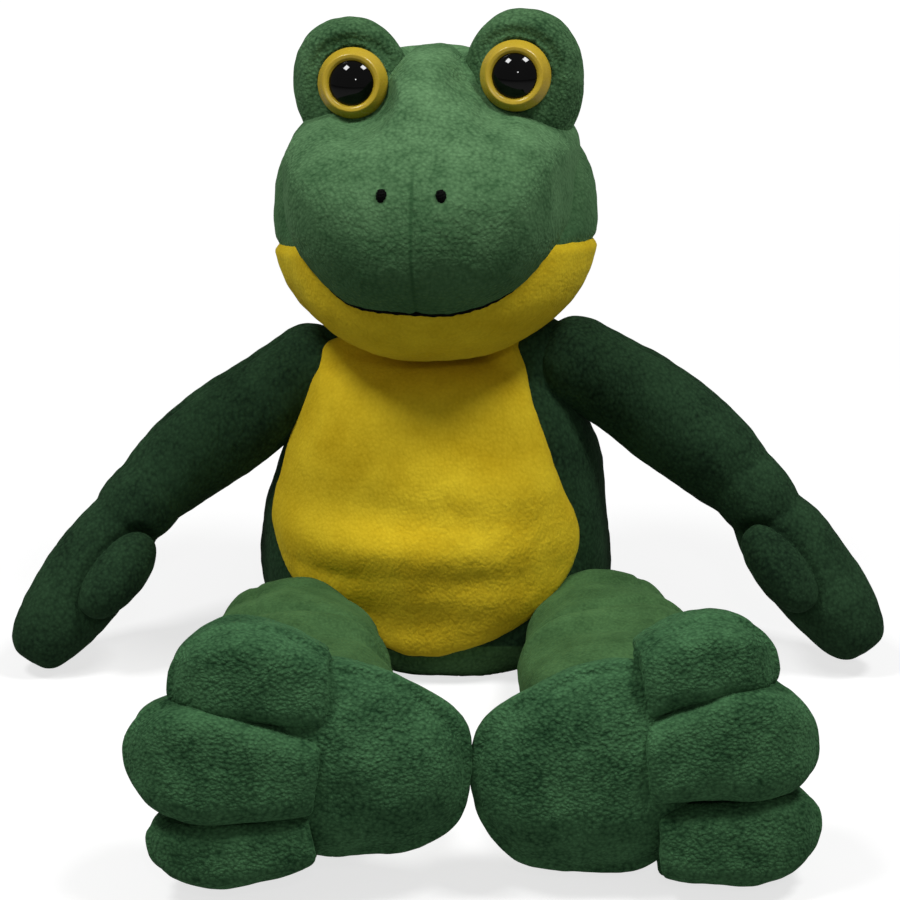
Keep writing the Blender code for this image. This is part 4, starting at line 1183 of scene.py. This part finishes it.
def make_arm(side, dark):
    name = SIDE_NAMES[side]
    shoulder_at, elbow_at = joint_at("shoulder_raise_" + name), joint_at("elbow_bend_" + name)
    tip = farthest("forearm_" + name, elbow_at)
    reach, length = (elbow_at - shoulder_at).length, (tip - elbow_at).length
    along, onward = (elbow_at - shoulder_at).normalized(), (tip - elbow_at).normalized()
    place = level_frame(shoulder_at, side * along)
    mirror = Matrix.Scale(side, 4, (1, 0, 0))
    elbow = frame_of(elbow_at, side * onward, side * joint_axis("elbow_bend_" + name))
    to_arm = (place @ mirror).inverted() @ elbow @ mirror
    upwards = (0, 0, 1)
    radius = SHOULDER_RADIUS - ARM_ROOT_TRIM
    root = stuffed((-radius, 0, 0), (radius, 0, 0), (radius,) * 3, across=upwards)
    upper = stuffed(
        (ARM_START, 0, 0),
        (reach + UPPER_ARM_PAST, 0, 0),
        UPPER_ARM_HALVES,
        UPPER_ARM_SHARES,
        fullness=ARM_FULLNESS,
        across=upwards,
        bow=(0, 0, UPPER_ARM_BOWS[side]),
    )
    before = Vector((reach - ELBOW_REACH, 0, ELBOW_LIFTS[side]))
    after = to_arm @ Vector((ELBOW_REACH, 0, ELBOW_LIFTS[side]))
    bend = stuffed(before, after, ELBOW_HALVES, fullness=ELBOW_FULLNESS, across=upwards)
    fore = stuffed(
        (-FOREARM_BEFORE, 0, 0),
        (length, 0, HAND_LIFTS[side]),
        FOREARM_HALVES,
        FOREARM_SHARES,
        fullness=FOREARM_FULLNESS,
        across=upwards,
    )
    x, y, z = THUMB_AT
    thumb = stuffed(
        (x, y, z),
        (x + THUMB_LENGTH, y - THUMB_DROP, z + THUMB_TURN),
        (THUMB_RADIUS,) * 3,
        THUMB_SHARES,
        fullness=THUMB_FULLNESS,
        across=upwards,
    )
    arm = skin_over("arm_skin_" + name, [root, upper, bend, moved(fore, to_arm)], FINE_STEP, 4)
    finger = skin_over("thumb_skin_" + name, [moved(thumb, to_arm)], FINE_STEP, 2)
    sculpt(
        arm,
        creased(tree_of(finger), THUMB_SEAM),
        lumps(*UNEVENNESS["arm"], 31 + side),
        lambda points, normals: -ridge(points[:, 1] - ARM_SEAM_BACK, ARM_SEAM) * (normals[:, 2] > 0.2),
        nap(33 + side),
    )
    sculpt(finger, lumps(*UNEVENNESS["thumb"], 37 + side), nap(39 + side))
    arm_nodes = ("upper_arm_" + name, "forearm_" + name)
    dressed(arm, place @ mirror, dark, arm_nodes, None)
    dressed(finger, place @ mirror, dark, ("thumb_" + name,), "forearm_" + name)
    middle = (along + onward).normalized() * ELBOW_BLEND
    elbow_at - middle
    elbow_at + middle
    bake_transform(arm)
    fold = skin_over("shoulder_fold_" + name, [ball(SHOULDER_RADIUS - SHOULDER_FOLD_TRIM)])
    sculpt(fold, nap(35 + side))
    dressed(fold, place, dark, ("shoulder_" + name,), "shoulder_" + name)


def barrel(at, radius, half_width):
    """A rounded barrel about a level hinge."""
    x, y, z = at
    return stuffed((x - half_width, y, z), (x + half_width, y, z), (radius,) * 3, across=(0, 0, 1))


# Place of each fold over the thigh, how it slants, its half width and how far it stands out
LEG_FOLDS = (
    (-0.062, 0.40, 0.0032, -0.0020),
    (-0.072, 0.20, 0.0040, 0.0008),
    (-0.086, -0.25, 0.0034, -0.0012),
)


def leg_folds(points, normals):
    change = np.zeros(len(points))
    for y, slant, wide, height in LEG_FOLDS:
        change += ridge(points[:, 1] - y - slant * (points[:, 0] - LEG_FOLD_MIDDLE), (height, wide))
    return change * ramped(normals[:, 2], 0.0, 0.5)


def make_leg(side, green):
    name = SIDE_NAMES[side]
    mirror = Matrix.Scale(side, 4, (1, 0, 0))
    hip, ankle = mirror @ joint_at("hip_lift_" + name), mirror @ joint_at("ankle_tip_" + name)
    thigh = stuffed(hip, ankle, LEG_HALVES, LEG_SHARES, fullness=LEG_FULLNESS, bow=(LEG_OUTWARD, 0, 0))
    ends = [barrel(hip, HIP_RADIUS, HIP_HALF_WIDTH), barrel(ankle, ANKLE_RADIUS, ANKLE_HALF_WIDTH)]
    leg = skin_over("leg_skin_" + name, [thigh, *ends], SKIN_STEP, 6)
    seam_at = hip.x + LEG_SEAM_OUT
    sculpt(
        leg,
        lumps(*UNEVENNESS["leg"], 41 + side),
        lambda points, normals: -ridge(points[:, 0] - seam_at, LEG_SEAM) * (normals[:, 2] > 0.3),
        leg_folds,
        nap(43 + side),
    )
    dressed(leg, mirror, green, ("leg_" + name,), "leg_" + name)


def toe_form(side, toe):
    """One stuffed toe: square where it is sewn to the pad, widest past its middle and round at its tip."""
    root, reach, root_height, tip_height, bow, half_height, root_share, stand = TOES[side][toe]
    depth = TOE_DEPTHS[toe]
    shares = (
        (0.00, root_share, 0.84, 0.98),
        (0.30, (1 + root_share) / 2, 0.97, 1.00),
        (0.62, 1.00, 1.00, 1.00),
        (1.00, 0.96, 0.92, 0.94),
    )
    return stuffed(
        (root, -stand, root_height),
        (reach, -stand, tip_height),
        (half_height, depth, depth),
        shares,
        fullness=TOE_FULLNESS,
        square=TOE_SQUARE,
        across=(0, 0, 1),
        bow=(0, 0, bow),
    )


def edge_seam(points, normals):
    """The seam between the sole's cloth and the upper's: a groove in front of a soft ridge."""
    y = points[:, 1]
    return ridge(y + EDGE_RIDGE_AT, EDGE_RIDGE) - ridge(y + EDGE_GROOVE_AT, EDGE_GROOVE)


def make_foot(side, green):
    name = SIDE_NAMES[side]
    body = "foot_" + name
    place = (
        Matrix.Translation((side * FOOT_HEEL, -FOOT_FORWARD, FOOT_RISES[side]))
        @ Matrix.Rotation(FOOT_ROLLS[side], 4, "Y")
        @ Matrix.Rotation(FOOT_LEAN, 4, "X")
        @ Matrix.Scale(side, 4, (1, 0, 0))
    )
    heel, ball_end = (0, 0, HEEL_RISES[side]), (PAD_LENGTH, 0, BALL_RISE)
    halves = (PAD_HALF_HEIGHTS[side], *PAD_HALF_DEPTHS)
    pad = stuffed(heel, ball_end, halves, PAD_SHARES, fullness=PAD_FULLNESS, across=(0, 0, 1))
    foot = skin_over("foot_skin_" + name, [pad], PAD_STEP, 2)
    sculpt(foot, lumps(*UNEVENNESS["foot"], 51 + side), edge_seam, nap(53 + side))
    dressed(foot, place, green, (body,), body)
    for k, toe in enumerate(TOES[side]):
        skin = skin_over("toe_" + toe + "_skin_" + name, [toe_form(side, toe)], FINE_STEP, 3)
        sculpt(skin, lumps(*UNEVENNESS["toe"], 61 + k + side), edge_seam, nap(71 + k + side))
        dressed(skin, place, green, ("toe_" + toe + "_" + name,), body)


# Floor, light and camera


def seen_share(finish):
    """1 for what the camera sees, less of it for what shiny things show, and 0 for the rest of the light."""
    rays = [finish.node("LightPath", take=f"Is {kind} Ray") for kind in ("Camera", "Glossy", "Transmission")]
    return rays[0].maths("MINIMUM", rays[0] + rays[1] * SHINY_SHARE + rays[2], 1.0)


def make_studio():
    world = bpy.data.worlds.new("studio")
    bpy.context.scene.world = world
    air = Finish(world)
    strength = seen_share(air) * (1 - AIR_LIGHT) + AIR_LIGHT
    air.shown(air.node("Background", {}, {"Color": WHITE, "Strength": strength}), "OutputWorld")

    corners = [(x * FLOOR_REACH, y * FLOOR_REACH, 0) for x, y in ((-1, -1), (1, -1), (1, 1), (-1, 1))]
    floor = new_piece("floor", corners, [(0, 1, 2, 3)])
    ground = Finish(bpy.data.materials.new("pale floor"))
    matt = ground.node("BsdfDiffuse", {}, {"Color": FLOOR_SHADE})
    place = ground.node("TexCoord", take="Object")
    away = ground.node("VectorMath", {"operation": "LENGTH"}, {0: place}, take="Value")
    lift = ground.ramp(away / FLOOR_FAR, FLOOR_LIFT)
    shine = ground.node("Emission", {}, {"Color": WHITE, "Strength": seen_share(ground) * lift})
    floor.data.materials.append(ground.shown(ground.node("AddShader", {}, {0: matt, 1: shine})))
    for name, (at, size, power) in LAMPS.items():
        lamp = bpy.data.lights.new(name, "AREA")
        lamp.shape = "SQUARE"
        lamp.size = size
        lamp.energy = power
        stand = bpy.data.objects.new(name, lamp)
        bpy.context.scene.collection.objects.link(stand)
        stand.location = at
        stand.rotation_euler = (Vector(LAMP_AIM) - Vector(at)).to_track_quat("-Z", "Y").to_euler()


def make_camera():
    lens = bpy.data.cameras.new("camera")
    lens.lens = LENS
    lens.sensor_width = SENSOR_WIDTH
    camera = bpy.data.objects.new("camera", lens)
    bpy.context.scene.collection.objects.link(camera)
    camera.location = CAMERA_AT
    camera.rotation_euler = Vector(CAMERA_LOOK).to_track_quat("-Z", "Y").to_euler()
    bpy.context.scene.camera = camera


def main():
    bpy.context.scene.view_settings.view_transform = "Standard"
    make_camera()
    make_studio()
    head = level_frame(joint_at("neck_nod"), -joint_axis("neck_nod"))
    upright = head.to_3x3() @ Matrix.Rotation(MUZZLE_TILT, 3, "Y")
    dart_at = head @ Vector((0, 0, MUZZLE_TILT_RISE))
    floor_of_muzzle = head.translation.z + MUZZLE_LOW
    over_nostrils = head.translation.z + NOSTRIL_RISE + FACE_PAINTED_SHADE_PAST
    velvet = {"tuft": 0.0010, "rough": 0.0002, "contrast": 0.7, "lay": (1, 1, 0.8), "patch": 60.0}
    seat = (SEAT_SLOPE, SEAT_CLOTH_TOP, MID_GREEN, MID_TIP)
    dark = plush("dark green velvet", DARK_GREEN, DARK_TIP, **velvet)
    seated = plush("dark green velvet over the seat's cloth", DARK_GREEN, DARK_TIP, **velvet, seat=seat)
    thigh = plush("green velvet", MID_GREEN, MID_TIP, tuft=0.0009, rough=0.0002, contrast=0.5)
    nubby = plush(
        "green foot plush", FOOT_GREEN, FOOT_TIP, tuft=0.0009, rough=0.0005, contrast=0.75, lay=(0.85, 1, 1)
    )
    pale = plush(
        "pale green plush",
        PALE_GREEN,
        PALE_TIP,
        tuft=0.0010,
        rough=0.0003,
        contrast=0.7,
        lay=(0.9, 1, 0.9),
        # painted shade on the lower face, fading out past the nostrils
        painted_shade=(floor_of_muzzle, over_nostrils, FACE_PAINTED_SHADE),
        seam=(dart_at, upright @ Vector((1, 0, 0)), DART_TOP - MUZZLE_TILT_RISE),
    )
    pocket = {"tuft": 0.0009, "rough": 0.0003, "contrast": 0.8, "lay": (0.9, 1, 0.9)}
    # The mounds' finish: a darker copy of the pale plush, as painted shade
    deep = plush("pale plush darkened as painted shade on the mounds", MOUND_SHADED_GREEN, MOUND_SHADED_TIP, **pocket)
    soft = {"tuft": 0.0009, "rough": 0.00015, "contrast": 0.35, "lay": (1, 1, 0.8), "patch": 70.0}
    yellow = plush("yellow plush", YELLOW, YELLOW_TIP, **soft)
    disc = moulded("yellow eye plastic", IRIS_YELLOW, rough=0.25, gloss=0.5)
    dome = moulded("black eye plastic", PUPIL_BLACK, rough=0.02, gloss=0.30)
    washer = moulded("washer plastic", WASHER_WHITE, rough=0.4, gloss=0.5)
    stitch = thread("black satin thread", THREAD_BLACK)
    make_torso(seated, yellow)
    make_head(pale, deep, yellow, disc, dome, stitch, head)
    make_neck(dark, head)
    for side in (LEFT, RIGHT):
        make_arm(side, dark)
        make_leg(side, thigh)
        make_foot(side, nubby)
        frame["nodes"]["eye_washer_" + SIDE_NAMES[side]].data.materials[0] = washer


main()
